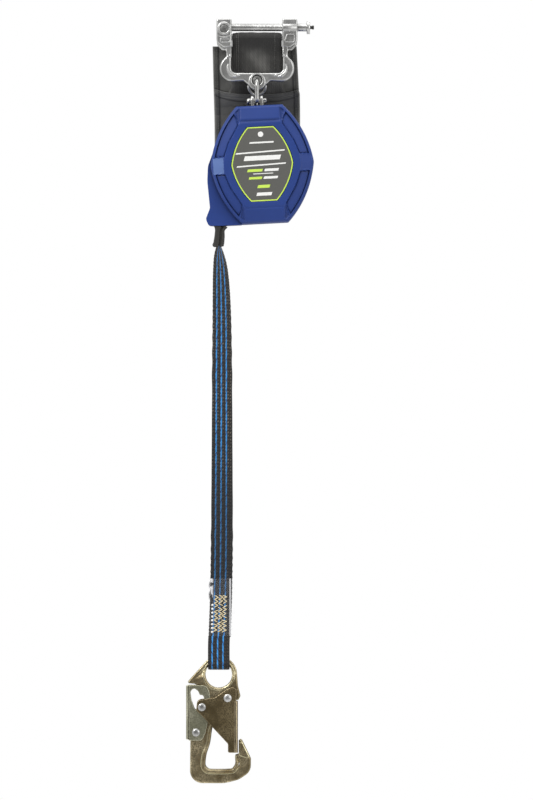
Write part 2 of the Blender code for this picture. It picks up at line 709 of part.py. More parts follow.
def build_power_spring(frame):
    case = [
        (REAR_PLATE_Y[1] + GAP, 29.0),
        (REAR_PLATE_Y[1] + GAP, 30.5),
        (CAVITY_REAR_Y - 0.6, 30.5),
        (CAVITY_REAR_Y - 0.6, AXLE_R + 0.4),
        (CAVITY_REAR_Y - 1.8, AXLE_R + 0.4),
        (CAVITY_REAR_Y - 1.8, 29.0),
    ]
    add_object("spring_case", turned(case, 0, 0, "Y", 32), ((0.03, 0.03, 0.035), 0.5, 0.0), frame)
    turns, start_r, end_r, thick = 5, 9.5, 27.0, 0.9
    steps = turns * 18
    inner, outer = [], []
    for i in range(steps + 1):
        angle = 2 * math.pi * turns * i / steps
        radius = start_r + (end_r - start_r) * i / steps
        inner.append((radius * math.cos(angle), radius * math.sin(angle)))
        outer.append(((radius + thick) * math.cos(angle), (radius + thick) * math.sin(angle)))
    bm = bmesh.new()
    rows = []
    for edge, depth in ((inner, 17.2), (inner, 23.6), (outer, 23.6), (outer, 17.2)):
        rows.append([bm.verts.new(spot("Y", a, b, depth)) for a, b in edge])
    for row, following in zip(rows, rows[1:] + rows[:1]):
        for i in range(steps):
            bm.faces.new((row[i], row[i + 1], following[i + 1], following[i]))
    for i in (0, steps):
        bm.faces.new([row[i] for row in rows])
    add_object("power_spring", bm, (STEEL, 0.3, 1.0), frame)


# ---------------------------------------------------------------- lifeline


def build_feed():
    """The run of webbing from the drum down through the nozzle."""
    stations = [(Vector((-34.9, 0.0, -141.0)), 0.0), (Vector((-36.6, 0.0, -172.0)), 0.0)]
    stations.append((Vector((LINE_X + 0.2, 0.0, SLEEVE_TOP_Z + 0.2)), 0.0))
    add_object("feed_webbing", ribbon(stations, WEB_HALF, WEB_THICK / 2), (BLACK, 0.85, 0.0))


def twist_at(z):
    """Edge-on in the sleeve, flat to the front further down."""
    return math.pi / 2 * (1 - math.exp(min(0.0, z - SLEEVE_BOTTOM_Z) / TWIST_LENGTH))


def build_lifeline():
    route = [
        Vector((-38.2, 0.0, -200.0)),
        Vector((-38.0, 0.0, -222.0)),
        Vector((-36.4, 0.0, -245.0)),
        Vector((-35.2, 0.0, -285.0)),
        Vector((-34.9, 0.0, -350.0)),
        Vector((-34.9, 0.0, -430.0)),
        Vector((-35.1, 0.0, -510.0)),
        Vector((-35.9, -0.8, -565.0)),
        Vector((-37.4, -1.1, LOOP_TOP_Z + 0.4)),
    ]
    stations = [(point, twist_at(point.z)) for point in smooth_route(route, 5)]
    band = ribbon(stations, WEB_HALF, WEB_THICK / 2)
    add_object("lifeline", band, (BLACK, 0.85, 0.0), pivot=(LINE_X, 0.0, SLEEVE_TOP_Z))


def tube(sections, wall_x, wall_y):
    """A rectangular sleeve through (z, x range, y range) sections, open at both ends."""
    inner = [(z, (x[0] + wall_x, x[1] - wall_x), (y[0] + wall_y, y[1] - wall_y)) for z, x, y in sections]
    rows = []
    for z, x, y in sections + inner[::-1]:
        corners = ((x[0], y[0]), (x[1], y[0]), (x[1], y[1]), (x[0], y[1]))
        rows.append([Vector((a, b, z)) for a, b in corners])
    return skin(rows, closed=True)


def build_sleeve():
    sections = [
        (SLEEVE_TOP_Z, (-43.8, -30.2), (-13.2, 13.2)),
        (SLEEVE_TOP_Z - 6.0, (-43.4, -33.4), (-12.6, 12.6)),
        (SLEEVE_BOTTOM_Z + 3.0, (-43.6, -33.2), (-12.6, 12.6)),
        (SLEEVE_BOTTOM_Z, (-44.0, -32.8), (-12.9, 12.9)),
    ]
    add_object("stop_sleeve", tube(sections, 3.6, 1.2), ((0.03, 0.03, 0.03), 0.6, 0.0))


def build_splice():
    fold = [(SPLICE_TOP_Z - 2.0, (-46.6, -24.8), (0.6, 2.2)), (-580.0, (-47.4, -25.4), (0.4, 2.0))]
    fold.append((LOOP_TOP_Z + 0.4, (-48.4, -26.4), (0.2, 1.8)))
    add_object("splice_fold", slab(fold), (BLACK, 0.85, 0.0))
    sections = [
        (SPLICE_TOP_Z, (-47.8, -23.6), (-3.0, 3.2)),
        (-580.0, (-48.6, -24.2), (-3.1, 3.2)),
        (LOOP_TOP_Z + 1.0, (-49.6, -25.2), (-3.2, 3.2)),
    ]
    add_object("splice_sleeve", tube(sections, 0.7, 0.7), ((0.5, 0.5, 0.5), 0.2, 0.0))


def build_eye_loop():
    """Webbing loop round the hook's eye, seen from the side as a drop."""
    centre_z = HOOK_Z + HOOK_SWING_Z
    outer = circle(0.0, centre_z, 8.1, 14, 165.0, 210.0) + [(2.0, LOOP_TOP_Z), (-2.0, LOOP_TOP_Z)]
    loop = prism(outer, HOOK_X - 10.9, HOOK_X + 10.9, "X")
    obj = add_object("eye_loop", loop, (BLACK, 0.85, 0.0))
    hole = circle(0.0, centre_z, 6.4, 14, 165.0, 210.0) + [(0.3, LOOP_TOP_Z - 7.0), (-0.3, LOOP_TOP_Z - 7.0)]
    cut(obj, prism(hole, HOOK_X - 30.0, HOOK_X + 30.0, "X"))


# ---------------------------------------------------------------- snap hook


def hook_outline():
    """Front view about the eye's centre: eye, neck, spine, bowl and nose."""
    eye = circle(0.0, 0.0, HOOK_RING_R, 10, 0.0, 137.0)
    left = [
        (-30.2, -6.2),
        (-31.0, -7.4, 0.8),
        (-30.0, -8.6),
        (-24.5, -9.2),
        (-19.0, -11.2, 2.0),
        (-13.3, -16.0, 3.0),
        (-13.3, -38.5, 3.0),
        (-22.0, -43.0, 3.0),
        (-28.6, -51.0, 3.0),
        (-28.4, -67.0, 20.0),
        (-27.2, -97.0, 8.0),
        (-18.0, -108.2, 14.0),
        (6.0, -108.4, 30.0),
        (20.0, -105.0, 15.0),
        (32.0, -97.0, 12.0),
        (32.2, -84.0, 3.0),
    ]
    nose = [(23.4, -65.6, 0.6), (22.0, -64.4, 0.6), (19.9, -66.0), (19.9, -79.2), (15.9, -80.4, 1.0)]
    bowl = [(20.8, -88.8, 2.0), (19.0, -94.6, 5.0), (-13.2, -94.6, 6.0), (-13.4, -88.0, 6.0)]
    inner = [(-12.1, -78.6, 15.0), (-8.6, -68.2, 15.0), (-6.4, -53.0, 10.0), (2.5, -36.0, 8.0)]
    lobe = circle(*RIVET_A, 6.8, 4, -95.0, 75.0)
    shoulder = [(16.4, -25.2), (19.6, -25.6, 0.6), (21.7, -21.4, 0.8), (19.3, -12.0, 6.0)]
    return rounded(eye + left + nose + bowl + inner + lobe + shoulder)


def build_hook(frame):
    swing = (0.0, 0.0, HOOK_SWING_Z)
    body = prism(hook_outline(), -HOOK_HALF_Y, HOOK_HALF_Y)
    hook = add_object("hook_body", body, (ZINC, 0.4, 0.9), frame, swing)
    cut(hook, disc(0.0, 0.0, HOOK_EYE_R, -20.0, 20.0, steps=32))
    for side in (-1, 1):
        thin = sorted((side * HOOK_RING_HALF_Y, side * 20.0))
        cut(hook, box((-12.0, 12.0), thin, (2.0, 30.0)))
    cut(hook, disc(*RIVET_A, 2.6, -20.0, 20.0, steps=16))
    cut(hook, disc(*RIVET_C, 2.5, -20.0, 20.0, steps=16))
    cut(hook, disc(*RIVET_C, 5.2, -20.0, -HOOK_HALF_Y + 2.2, steps=24))
    cut(hook, disc(*RIVET_A, 5.2, -20.0, -HOOK_HALF_Y + 2.2, steps=24))
    for name, place in (("gate_spring", RIVET_A), ("lever_spring", RIVET_C)):
        coil = washer(*place, 3.0, 4.7, -HOOK_HALF_Y + 0.2, -HOOK_HALF_Y + 1.9, steps=20)
        add_object(name, coil, (STEEL, 0.4, 1.0), frame)


def rivet(name, frame, place, shank_r, under_head, pivot=(0.0, 0.0, 0.0)):
    """A double-headed rivet along Y with domed heads outside the plates."""
    head_r, crown = 4.1, 1.7
    dome = [(under_head + crown * (1 - (1 - t) ** 2), head_r * math.sqrt(1 - t * t)) for t in (0.0, 0.5, 0.8)]
    tip = [(under_head + crown, 0.0)]
    half = [(under_head, shank_r), *dome, *tip]
    profile = [(-depth, r) for depth, r in reversed(half)] + half
    add_object(name, turned(profile, *place, "Y", 16), (STEEL, 0.2, 1.0), frame, pivot)


def build_gate(frame):
    corners = [
        (-22.6, -36.0, 4.5),
        (-21.6, -25.6, 4.5),
        (-3.8, -22.8, 6.0),
        (7.1, -14.9, 4.0),
        (14.2, -12.0, 1.0),
        (19.1, -15.8, 1.0),
        (19.1, -77.8, 0.6),
        (9.2, -77.8, 1.8),
        (9.2, -69.0, 3.0),
        (-19.0, -38.6, 3.0),
    ]
    outline = rounded(corners)
    pivot = (RIVET_A[0], 0.0, RIVET_A[1])
    gate = add_object("gate", prism(outline, -GATE_Y[1], GATE_Y[1]), (BRONZE, 0.4, 0.9), frame, pivot)
    hollow = (-GATE_Y[0], GATE_Y[0])
    cut(gate, box((-60.0, 17.3), hollow, (-100.0, 10.0)))
    cut(gate, box((-60.0, 60.0), hollow, (-26.6, 10.0)))
    cut(gate, disc(*RIVET_A, 2.6, -20.0, 20.0, steps=16))
    cut(gate, disc(*RIVET_B, 2.4, -20.0, 20.0, steps=16))
    rivet("gate_rivet", frame, RIVET_A, 2.3, GATE_Y[1] + GAP)
    rivet("catch_rivet", frame, RIVET_B, 2.1, GATE_Y[1] + GAP, pivot)


def build_lever(frame):
    corners = [
        (-32.8, -10.6, 2.0),
        (-13.0, -10.6, 4.0),
        (-9.6, -16.0, 4.0),
        (-8.4, -24.0, 8.0),
        (-9.4, -40.0, 10.0),
        (-13.1, -57.3, 8.0),
        (-16.4, -65.8, 5.0),
        (-29.4, -65.8, 1.0),
        (-31.4, -64.4, 1.0),
        (-32.1, -42.0, 30.0),
    ]
    pivot = (RIVET_C[0], 0.0, RIVET_C[1])
    outline = rounded(corners)
    lever = add_object("lever", prism(outline, -LEVER_Y[1], LEVER_Y[1]), (BRONZE, 0.4, 0.9), frame, pivot)
    cut(lever, box((-31.0, 10.0), (-LEVER_Y[0], LEVER_Y[0]), (-80.0, 10.0)))
    slot = [
        (-28.4, -17.4, 2.5),
        (-25.4, -12.8, 3.0),
        (-20.6, -16.2, 3.0),
        (-18.9, -20.2, 1.0),
        (-15.6, -20.4, 2.0),
        (-14.0, -26.0, 2.0),
        (-14.0, -35.0, 1.5),
        (-23.8, -35.0, 1.5),
        (-27.4, -25.6, 10.0),
    ]
    cut(lever, prism(rounded(slot), -20.0, 20.0))
    cut(lever, disc(*RIVET_C, 2.5, -20.0, 20.0, steps=16))
    rivet("lever_rivet", frame, RIVET_C, 2.2, LEVER_Y[1] + GAP)


def build_device():
    sway = add_empty("sway_pivot", (0.0, 0.0, LINK_TOP_Z))
    hang = add_empty("hang_pivot", (0.0, 0.0, HANG_Z - LINK_TOP_Z), sway, -TILT)
    u, v = hang_point()
    frame = add_empty("device_frame", (-u, 0.0, -v), hang)
    build_clevis(frame)
    build_front_cover(frame)
    build_rear_cover(frame)
    build_nozzle(frame)
    build_frame_plates(frame)
    build_axle(frame)
    build_drum(frame)
    build_brake(frame)
    build_power_spring(frame)


def build_snap_hook():
    frame = add_empty("hook_frame", (HOOK_X, 0.0, HOOK_Z))
    build_hook(frame)
    build_gate(frame)
    build_lever(frame)


clear_scene()
build_yoke()
build_locking_pin()
build_pin_inside()
build_strap_bar()
build_keeper()
build_strap()
build_pouch()
build_link()
build_device()
build_feed()
build_lifeline()
build_sleeve()
build_splice()
build_eye_loop()
build_snap_hook()
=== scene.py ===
"""Looks of the self retracting lifeline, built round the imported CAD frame.

Lengths are in millimetres and become metres when a mesh is made. The frame's origin is the
middle of the locking pin, +X runs along the pin to its button, +Z is up, the front faces -Y.
A casing place (u, v) is measured across and up the leaning casing from the drum's axis, and a
hook place is measured from the middle of the hook's eye.
"""

import json
import math

import bmesh
import bpy
import numpy as np
from mathutils import Matrix, Vector


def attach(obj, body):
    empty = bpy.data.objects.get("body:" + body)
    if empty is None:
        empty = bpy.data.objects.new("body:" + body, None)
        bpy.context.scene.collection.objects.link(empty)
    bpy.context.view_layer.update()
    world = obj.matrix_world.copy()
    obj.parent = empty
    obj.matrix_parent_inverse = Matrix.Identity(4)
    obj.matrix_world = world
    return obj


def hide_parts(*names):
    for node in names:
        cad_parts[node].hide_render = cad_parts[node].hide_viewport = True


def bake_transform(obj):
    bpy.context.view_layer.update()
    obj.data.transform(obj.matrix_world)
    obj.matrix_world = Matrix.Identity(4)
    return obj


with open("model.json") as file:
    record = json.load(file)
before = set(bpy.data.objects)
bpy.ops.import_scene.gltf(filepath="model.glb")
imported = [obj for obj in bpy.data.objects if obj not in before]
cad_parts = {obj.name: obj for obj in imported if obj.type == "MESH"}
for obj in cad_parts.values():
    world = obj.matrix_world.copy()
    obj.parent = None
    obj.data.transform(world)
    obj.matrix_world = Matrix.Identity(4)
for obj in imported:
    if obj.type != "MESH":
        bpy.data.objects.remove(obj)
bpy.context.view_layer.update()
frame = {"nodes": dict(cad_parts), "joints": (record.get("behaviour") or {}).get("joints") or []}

MM = 0.001
RNG = np.random.default_rng(7)
JOINTS = {joint["name"]: joint for joint in frame["joints"]}

# ---------------------------------------------------------------- places


def joint_at(name):
    """Where a joint of the frame sits, as (x, z)."""
    x, _, z = JOINTS[name]["pos_m"]
    return round(x / MM, 3), round(z / MM, 3)


def from_centre(place, centre):
    return tuple(round(p - c, 3) for p, c in zip(place, centre))


DRUM = joint_at("drum_spin")
LINK_TOP = joint_at("link_sway")
HANGER = joint_at("device_pitch")
STRAP_BAR = joint_at("pack_hinge")
SEWN_LOOP = joint_at("hook_swing")
EYE_BELOW_LOOP = 12.8
HOOK = (SEWN_LOOP[0], round(SEWN_LOOP[1] - EYE_BELOW_LOOP, 3))
GATE_PIVOT = from_centre(joint_at("gate_open"), HOOK)
LEVER_PIVOT = from_centre(joint_at("lever_squeeze"), HOOK)
CATCH = (-16.8, -32.3)

TILT = math.radians(3.0)
CASING = Matrix.Translation((DRUM[0] * MM, 0.0, DRUM[1] * MM)) @ Matrix.Rotation(-TILT, 4, "Y")
AT_HOOK = Matrix.Translation((HOOK[0] * MM, 0.0, HOOK[1] * MM))
RISE = HANGER[1] - DRUM[1]
HANG_U = (HANGER[0] - DRUM[0]) * math.cos(TILT) + RISE * math.sin(TILT)
HANG_V = RISE * math.cos(TILT) - (HANGER[0] - DRUM[0]) * math.sin(TILT)

# A shield is (half width of its top, height of its top, a place on its bowed side, half width).
BODY_SHIELD = (23.0, 58.5, (41.4, 33.0), 51.5)
LABEL_SHIELD = (13.0, 37.0, (23.5, 22.0), 30.7)
REAR_RIB_SHIELD = (16.0, 40.0, (28.0, 24.0), 34.0)

SLEEVE_TOP_Z = -198.9
SLEEVE_BOTTOM_Z = -218.6
SPLICE_TOP_Z = -551.0
LOOP_TOP_Z = -609.4

# ---------------------------------------------------------------- node trees


def srgb(r, g, b):
    """Linear colour of an 8 bit sRGB colour."""
    return tuple(((c / 255 + 0.055) / 1.055) ** 2.4 if c > 10 else c / 255 / 12.92 for c in (r, g, b))


def toned(color, by, plus=0.0):
    return tuple(min(1.0, c * by + plus) for c in color)


class Nodes:
    """A node tree, with short names for the nodes that the light and the finishes use."""

    def __init__(self, tree):
        self.tree = tree
        self.nodes = tree.nodes

    def put(self, node, key, value):
        if isinstance(value, bpy.types.NodeSocket):
            self.tree.links.new(value, node.inputs[key])
        else:
            node.inputs[key].default_value = value

    def make(self, kind, out=0, **inputs):
        """A new node's output. A leading _ marks a setting, and _ stands for a space in an input."""
        node = self.nodes.new(kind)
        for key, value in inputs.items():
            if key.startswith("_"):
                setattr(node, key[1:], value)
            else:
                self.put(node, key.replace("_", " "), value)
        return node.outputs[out]

    def chain(self, kind, *values, **settings):
        """A new node's output, with its inputs filled in their order."""
        node = self.nodes.new(kind)
        for key, value in settings.items():
            setattr(node, key, value)
        for i, value in enumerate(values):
            self.put(node, i, value)
        return node.outputs["Value" if kind == "ShaderNodeVectorMath" else 0]

    def math(self, operation, *values):
        return self.chain("ShaderNodeMath", *values, operation=operation)

    def times(self, a, b):
        return self.math("MULTIPLY", a, b)

    def scaled(self, a, by, plus):
        return self.math("MULTIPLY_ADD", a, by, plus)

    def ramp(self, value, low, high, start=0.0, end=1.0, curve="SMOOTHSTEP"):
        """From start at low to end at high, and level beyond them."""
        ends = {"From_Min": low, "From_Max": high, "To_Min": start, "To_Max": end}
        return self.make("ShaderNodeMapRange", Value=value, _interpolation_type=curve, **ends)


class Finish(Nodes):
    """A procedural material on one Principled shader."""

    def __init__(self, name, color, roughness, metallic=0.0, place="Object"):
        self.mat = bpy.data.materials.new(name)
        self.mat.use_nodes = True
        super().__init__(self.mat.node_tree)
        self.shader = self.nodes["Principled BSDF"]
        self.set("Base Color", (*color, 1.0))
        self.set("Roughness", roughness)
        self.set("Metallic", metallic)
        self.place = self.make("ShaderNodeTexCoord", place)

    def set(self, key, value):
        self.put(self.shader, key, value)
        return self

    def colour(self, value):
        self.base = value
        return self.set("Base Color", value)

    def noise(self, scale, detail=4.0):
        return self.make("ShaderNodeTexNoise", Vector=self.place, Scale=scale, Detail=detail)

    def axis(self, name):
        return self.make("ShaderNodeSeparateXYZ", name, Vector=self.place)

    def between(self, factor, low, high):
        node = self.nodes.new("ShaderNodeMix")
        node.data_type = "RGBA"
        self.put(node, 0, factor)
        for key, value in ((6, low), (7, high)):
            self.put(node, key, (*value, 1.0) if isinstance(value, tuple) else value)
        return node.outputs[2]

    def wave(self, value, period):
        """0 to 1 along value, once each period."""
        turns = self.times(value, 2 * math.pi / period)
        return self.scaled(self.math("SINE", turns), 0.5, 0.5)

    def edges(self, radius):
        """Near 1 where the surface turns sharply outwards within the radius."""
        soft = self.make("ShaderNodeBevel", _samples=4, Radius=radius)
        plain = self.make("ShaderNodeNewGeometry", "Normal")
        facing = self.chain("ShaderNodeVectorMath", soft, plain, operation="DOT_PRODUCT")
        return self.ramp(facing, 0.995, 0.9)

    def bump(self, height, strength, distance):
        relief = self.make("ShaderNodeBump", Height=height, Strength=strength, Distance=distance)
        return self.set("Normal", relief)


# ---------------------------------------------------------------- finishes


def mottled(name, low, high, roughness, scale, detail=4.0):
    """A surface whose colour wanders between two tones."""
    f = Finish(name, low, roughness)
    return f.colour(f.between(f.noise(scale, detail), low, high))


def metal_finish(name, color, dark, roughness, grain=900.0, grain_depth=0.25, pits=0.28, edge=0.0006,
                 shine=0.55, swell=0.0):
    """Metal with tonal patches, a pitted grain, and brighter edges that are rubbed wear and a painted highlight."""
    f = Finish(name, color, roughness, 1.0)
    patches = f.ramp(f.noise(60.0, 5.0), 0.35, 0.68)
    grains = f.noise(grain, 6.0)
    dull = f.times(f.math("SUBTRACT", 1.0, f.ramp(grains, 0.41, 0.57)), pits * 2)
    base = f.between(dull, f.between(patches, dark, color), toned(color, 0.4))
    # lighter edges: rubbed wear, and a painted highlight along the rims
    f.colour(f.between(f.times(f.edges(edge), shine), base, toned(color, 1.5, 0.1)))
    f.set("Roughness", f.scaled(f.noise(180.0), 0.22, roughness - 0.1))
    return f.bump(f.scaled(f.noise(95.0, 3.0), swell, grains), grain_depth, 0.00015)


def plastic_finish(name, color, roughness=0.42, grain=2600.0):
    """Moulded plastic: spark-eroded texture, faint flow marks, a painted highlight on its edges and painted shade in
    its recesses.
    """
    f = Finish(name, color, roughness)
    base = f.between(f.noise(26.0, 3.0), toned(color, 0.86), toned(color, 1.14))
    # painted highlight along the edges
    base = f.between(f.times(f.edges(0.001), 0.3), base, toned(color, 1.7, 0.02))
    # painted shade: darker in recesses and between parts, where little open room is found
    painted_occlusion = f.make("ShaderNodeAmbientOcclusion", "AO", Distance=0.004, _samples=6)
    f.colour(f.between(f.ramp(painted_occlusion, 0.97, 0.45), base, toned(color, 0.4)))
    f.set("Roughness", f.scaled(f.noise(120.0), 0.16, roughness - 0.06))
    f.set("Specular IOR Level", 0.3)
    return f.bump(f.noise(grain, 2.0), 0.16, 0.00008)


def print_finish(name, low, high, scale, detail=4.0):
    """Ink or film of the label."""
    f = mottled(name, low, high, 0.45, scale, detail)
    return f.bump(f.noise(1400.0, 2.0), 0.08, 0.00005)


def weave_finish(name, color, light, across, along, rib=1.0, roughness=0.82):
    """Woven band: UV runs in metres across and along it. Ribs across, yarns along."""
    f = Finish(name, color, roughness, place="UV")
    u, v = f.axis("X"), f.axis("Y")
    row = f.math("FLOOR", f.math("DIVIDE", u, across))
    shift = f.times(f.math("MODULO", row, 2.0), along / 2)
    weft = f.wave(f.math("ADD", v, shift), along)
    height = f.scaled(weft, rib, f.times(f.wave(u, across), 0.6))
    fade = f.ramp(f.noise(30.0, 3.0), 0.35, 0.75)
    lit = f.times(f.ramp(height, 0.5, 1.5), f.scaled(fade, 0.7, 0.3))
    f.colour(f.between(lit, color, light))
    f.set("Sheen Weight", 0.25)
    f.set("Sheen Roughness", 0.5)
    return f.bump(f.scaled(f.noise(2500.0, 2.0), 0.25, height), 0.55, 0.0003)


def strap_finish():
    """Harness strap: a twill over the weave, pale patches that are rubbed wear and a painted highlight, and painted
    shade along its upper run where the line of the hem lies.
    """
    f = weave_finish("woven_strap", srgb(50, 49, 47), srgb(92, 91, 88), 0.0021, 0.0016, 0.5, 0.78)
    u, v = f.axis("X"), f.axis("Y")
    # pale patches: rubbed wear, and a painted soft highlight across the strap
    tone_mask = f.times(f.ramp(f.noise(26.0, 2.0), 0.42, 0.66), 0.62)
    base = f.between(tone_mask, f.base, srgb(134, 133, 129))
    base = f.between(f.times(f.wave(u, 0.0044), 0.2), base, srgb(34, 33, 32))
    twill = f.wave(f.math("ADD", u, f.times(v, 0.6)), 0.0024)
    base = f.between(f.times(twill, 0.22), base, srgb(36, 35, 34))
    # painted shade over the upper run of the strap, round the bar and down its back
    shade = f.times(f.ramp(v, 0.062, 0.08), 0.85)
    return f.colour(f.between(shade, base, srgb(26, 25, 24)))


def pouch_finish():
    """Coarse plain weave, rubbed pale, with painted shade where the mesh's seam_shade attribute says: along its seams
    and hem and towards its top.
    """
    f = Finish("pouch_fabric", srgb(60, 60, 58), 0.85)
    check = f.times(f.wave(f.axis("X"), 0.0011), f.wave(f.axis("Z"), 0.0011))
    tone_mask = f.times(f.ramp(f.noise(24.0), 0.35, 0.75), 0.5)
    base = f.between(tone_mask, f.between(check, srgb(56, 56, 54), srgb(104, 104, 100)), srgb(132, 131, 127))
    # painted shade, read from the mesh
    shade = f.make("ShaderNodeAttribute", "Fac", _attribute_name="seam_shade")
    f.colour(f.between(shade, base, srgb(20, 20, 19)))
    f.set("Sheen Weight", 0.2)
    return f.bump(f.math("ADD", check, f.times(f.noise(1800.0), 0.5)), 0.5, 0.00035)


def thread_finish():
    f = mottled("black_thread", srgb(70, 70, 68), srgb(122, 122, 118), 0.55, 2500.0)
    return f.bump(f.noise(4000.0), 0.4, 0.0001)


LINE_COLUMN = 0.0027
LINE_TRACERS = (-0.0066, -0.0012, 0.0042)


def lifeline_finish():
    """Black knitted webbing: columns of grey-brown stitches and three broken blue tracers."""
    f = Finish("woven_lifeline", srgb(18, 17, 16), 0.7, place="UV")
    u, v = f.axis("X"), f.axis("Y")
    row = f.math("MODULO", f.math("ABSOLUTE", f.math("FLOOR", f.math("DIVIDE", u, LINE_COLUMN))), 2.0)
    stitch = f.wave(f.scaled(row, 0.0016, f.scaled(u, 0.55, v)), 0.0034)
    height = f.times(f.wave(u, LINE_COLUMN), stitch)
    uneven = f.noise(420.0, 3.0)
    lit = f.times(f.ramp(height, 0.3, 0.75), f.ramp(uneven, 0.3, 0.62))
    tone = f.between(f.ramp(f.noise(40.0, 3.0), 0.35, 0.7), srgb(74, 68, 60), srgb(128, 120, 106))
    base = f.between(lit, srgb(15, 14, 14), tone)
    tracer = 0.0
    for place in LINE_TRACERS:
        away = f.math("ABSOLUTE", f.math("SUBTRACT", u, place))
        tracer = f.math("MAXIMUM", tracer, f.ramp(away, 0.00095, 0.0004))
    beat = f.wave(f.scaled(u, 2.9, v), 0.0105)
    dash = f.ramp(f.scaled(uneven, 0.6, beat), 0.25, 0.6)
    # darker further down the line
    tone_mask = f.ramp(v, 0.19, 0.29)
    base = f.between(f.times(tone_mask, 0.6), base, srgb(6, 6, 8))
    blue = f.between(dash, srgb(24, 78, 150), srgb(46, 146, 222))
    base = f.between(f.times(tracer, f.scaled(dash, 0.35, 0.65)), base, blue)
    # darker still down to the top of the splice
    darker_above_splice = f.times(f.times(tone_mask, f.ramp(v, 0.375, 0.36)), 0.55)
    f.colour(f.between(darker_above_splice, base, srgb(5, 6, 12)))
    f.set("Sheen Weight", 0.15)
    return f.bump(f.scaled(f.noise(2600.0), 0.3, height), 0.8, 0.0006)


def clear_finish():
    """Clear heat shrink, almost unseen but for a painted highlight along a taped edge and painted glints at a
    crinkled corner.
    """
    f = Finish("clear_wrap", (0.9, 0.9, 0.92), 0.18)
    x, z = f.axis("X"), f.axis("Z")
    taped_edge_glint = f.times(f.ramp(f.math("ABSOLUTE", f.math("ADD", x, 0.0268)), 0.0011, 0.0005), 0.55)
    corner = f.times(f.ramp(z, -0.573, -0.569), f.ramp(x, -0.0432, -0.0452))
    corner = f.times(corner, f.ramp(f.noise(210.0), 0.45, 0.6))
    # the film shows only where it carries these painted highlights
    f.set("Alpha", f.scaled(f.math("MAXIMUM", taped_edge_glint, corner), 0.7, 0.02))
    f.set("Roughness", f.scaled(f.noise(300.0), 0.3, 0.05))
    return f.bump(f.noise(90.0, 3.0), 0.6, 0.0006)


# ---------------------------------------------------------------- camera, light, floor

VIEW_HEIGHT = 0.8
VIEW_CENTRE = (0.0095, -0.3725)
FLOOR_Z = -2.62
LIGHTS = (
    # name, place, size, power
    ("key", (-1.4, -1.6, 1.3), 0.9, 30.0),
    ("fill", (1.6, -1.8, 0.1), 1.4, 9.0),
    ("top", (0.2, -0.5, 2.0), 1.2, 12.0),
    ("rear", (0.6, 1.6, 0.8), 1.4, 9.0),
)


def shown(name, data):
    obj = bpy.data.objects.new(name, data)
    bpy.context.scene.collection.objects.link(obj)
    return obj


def set_camera():
    cam = bpy.data.cameras.new("camera")
    cam.lens = 250.0
    cam.sensor_width = 36.0
    cam.clip_end = 60.0
    obj = shown("camera", cam)
    obj.location = (VIEW_CENTRE[0], -VIEW_HEIGHT * cam.lens / cam.sensor_width, VIEW_CENTRE[1])
    obj.rotation_euler = (math.pi / 2, 0.0, 0.0)
    bpy.context.scene.camera = obj


def set_room():
    """White to the camera; to the object, a bright room with a dark flag in front and behind."""
    world = bpy.data.worlds.new("studio")
    bpy.context.scene.world = world
    world.use_nodes = True
    t = Nodes(world.node_tree)
    way = t.make("ShaderNodeTexCoord", "Generated")
    depth = t.make("ShaderNodeSeparateXYZ", "Y", Vector=way)
    height = t.make("ShaderNodeSeparateXYZ", "Z", Vector=way)
    flag = t.ramp(t.math("ABSOLUTE", depth), 0.72, 0.97, 1.0, 0.3)
    level = t.times(flag, t.ramp(height, -0.6, 0.5, 0.7, 1.0, "LINEAR"))
    room = t.make("ShaderNodeBackground", Color=level, Strength=0.95)
    plain = t.make("ShaderNodeBackground", Color=(1.0, 1.0, 1.0, 1.0))
    to_camera = t.make("ShaderNodeLightPath", "Is Camera Ray")
    seen = t.chain("ShaderNodeMixShader", to_camera, room, plain)
    t.put(t.nodes["World Output"], "Surface", seen)


def set_lights():
    for name, place, size, power in LIGHTS:
        light = bpy.data.lights.new(name, "AREA")
        light.size = size
        light.energy = power
        obj = shown(name, light)
        obj.location = place
        aim = Vector((0.0, 0.0, -0.3)) - Vector(place)
        obj.rotation_euler = aim.to_track_quat("-Z", "Y").to_euler()
    bpy.context.scene.view_settings.view_transform = "Standard"


def set_floor():
    rim = [(a, b, FLOOR_Z) for a, b in circle(0.0, 0.0, 7.0, 64)]
    mesh = bpy.data.meshes.new("floor")
    mesh.from_pydata(rim, [], [list(range(len(rim)))])
    mesh.materials.append(mottled("pale_floor", (0.78, 0.78, 0.78), (0.82, 0.82, 0.82), 0.8, 3.0).mat)
    shown("floor", mesh)


# ---------------------------------------------------------------- curves and outlines


def ease(value, low, high):
    t = np.clip((value - low) / (high - low), 0, 1)
    return t * t * (3 - 2 * t)


def hump(offset, width):
    return np.exp(-((offset / width) ** 2))


def quarter_round(share):
    """Height of a quarter circle's edge, from 0 at its rim to 1 where it meets the flat."""
    return np.sqrt(np.clip(1 - (1 - np.clip(share, 0, 1)) ** 2, 0, 1))


def column(values):
    return np.asarray(values)[:, None]


def unit(vectors):
    return vectors / column(np.linalg.norm(vectors, axis=1))


def run_length(path):
    """Distance along a path at each of its points."""
    return np.concatenate([[0], np.cumsum(np.linalg.norm(np.diff(path, axis=0), axis=1))])


def circle(a, b, radius, steps=24, start=0.0, sweep=360.0):
    count = steps if sweep >= 360.0 else steps + 1
    angles = [math.radians(start + sweep * i / steps) for i in range(count)]
    return [(a + radius * math.cos(t), b + radius * math.sin(t)) for t in angles]


def mirrored(corners, side):
    return [(side * c[0], *c[1:]) for c in corners]


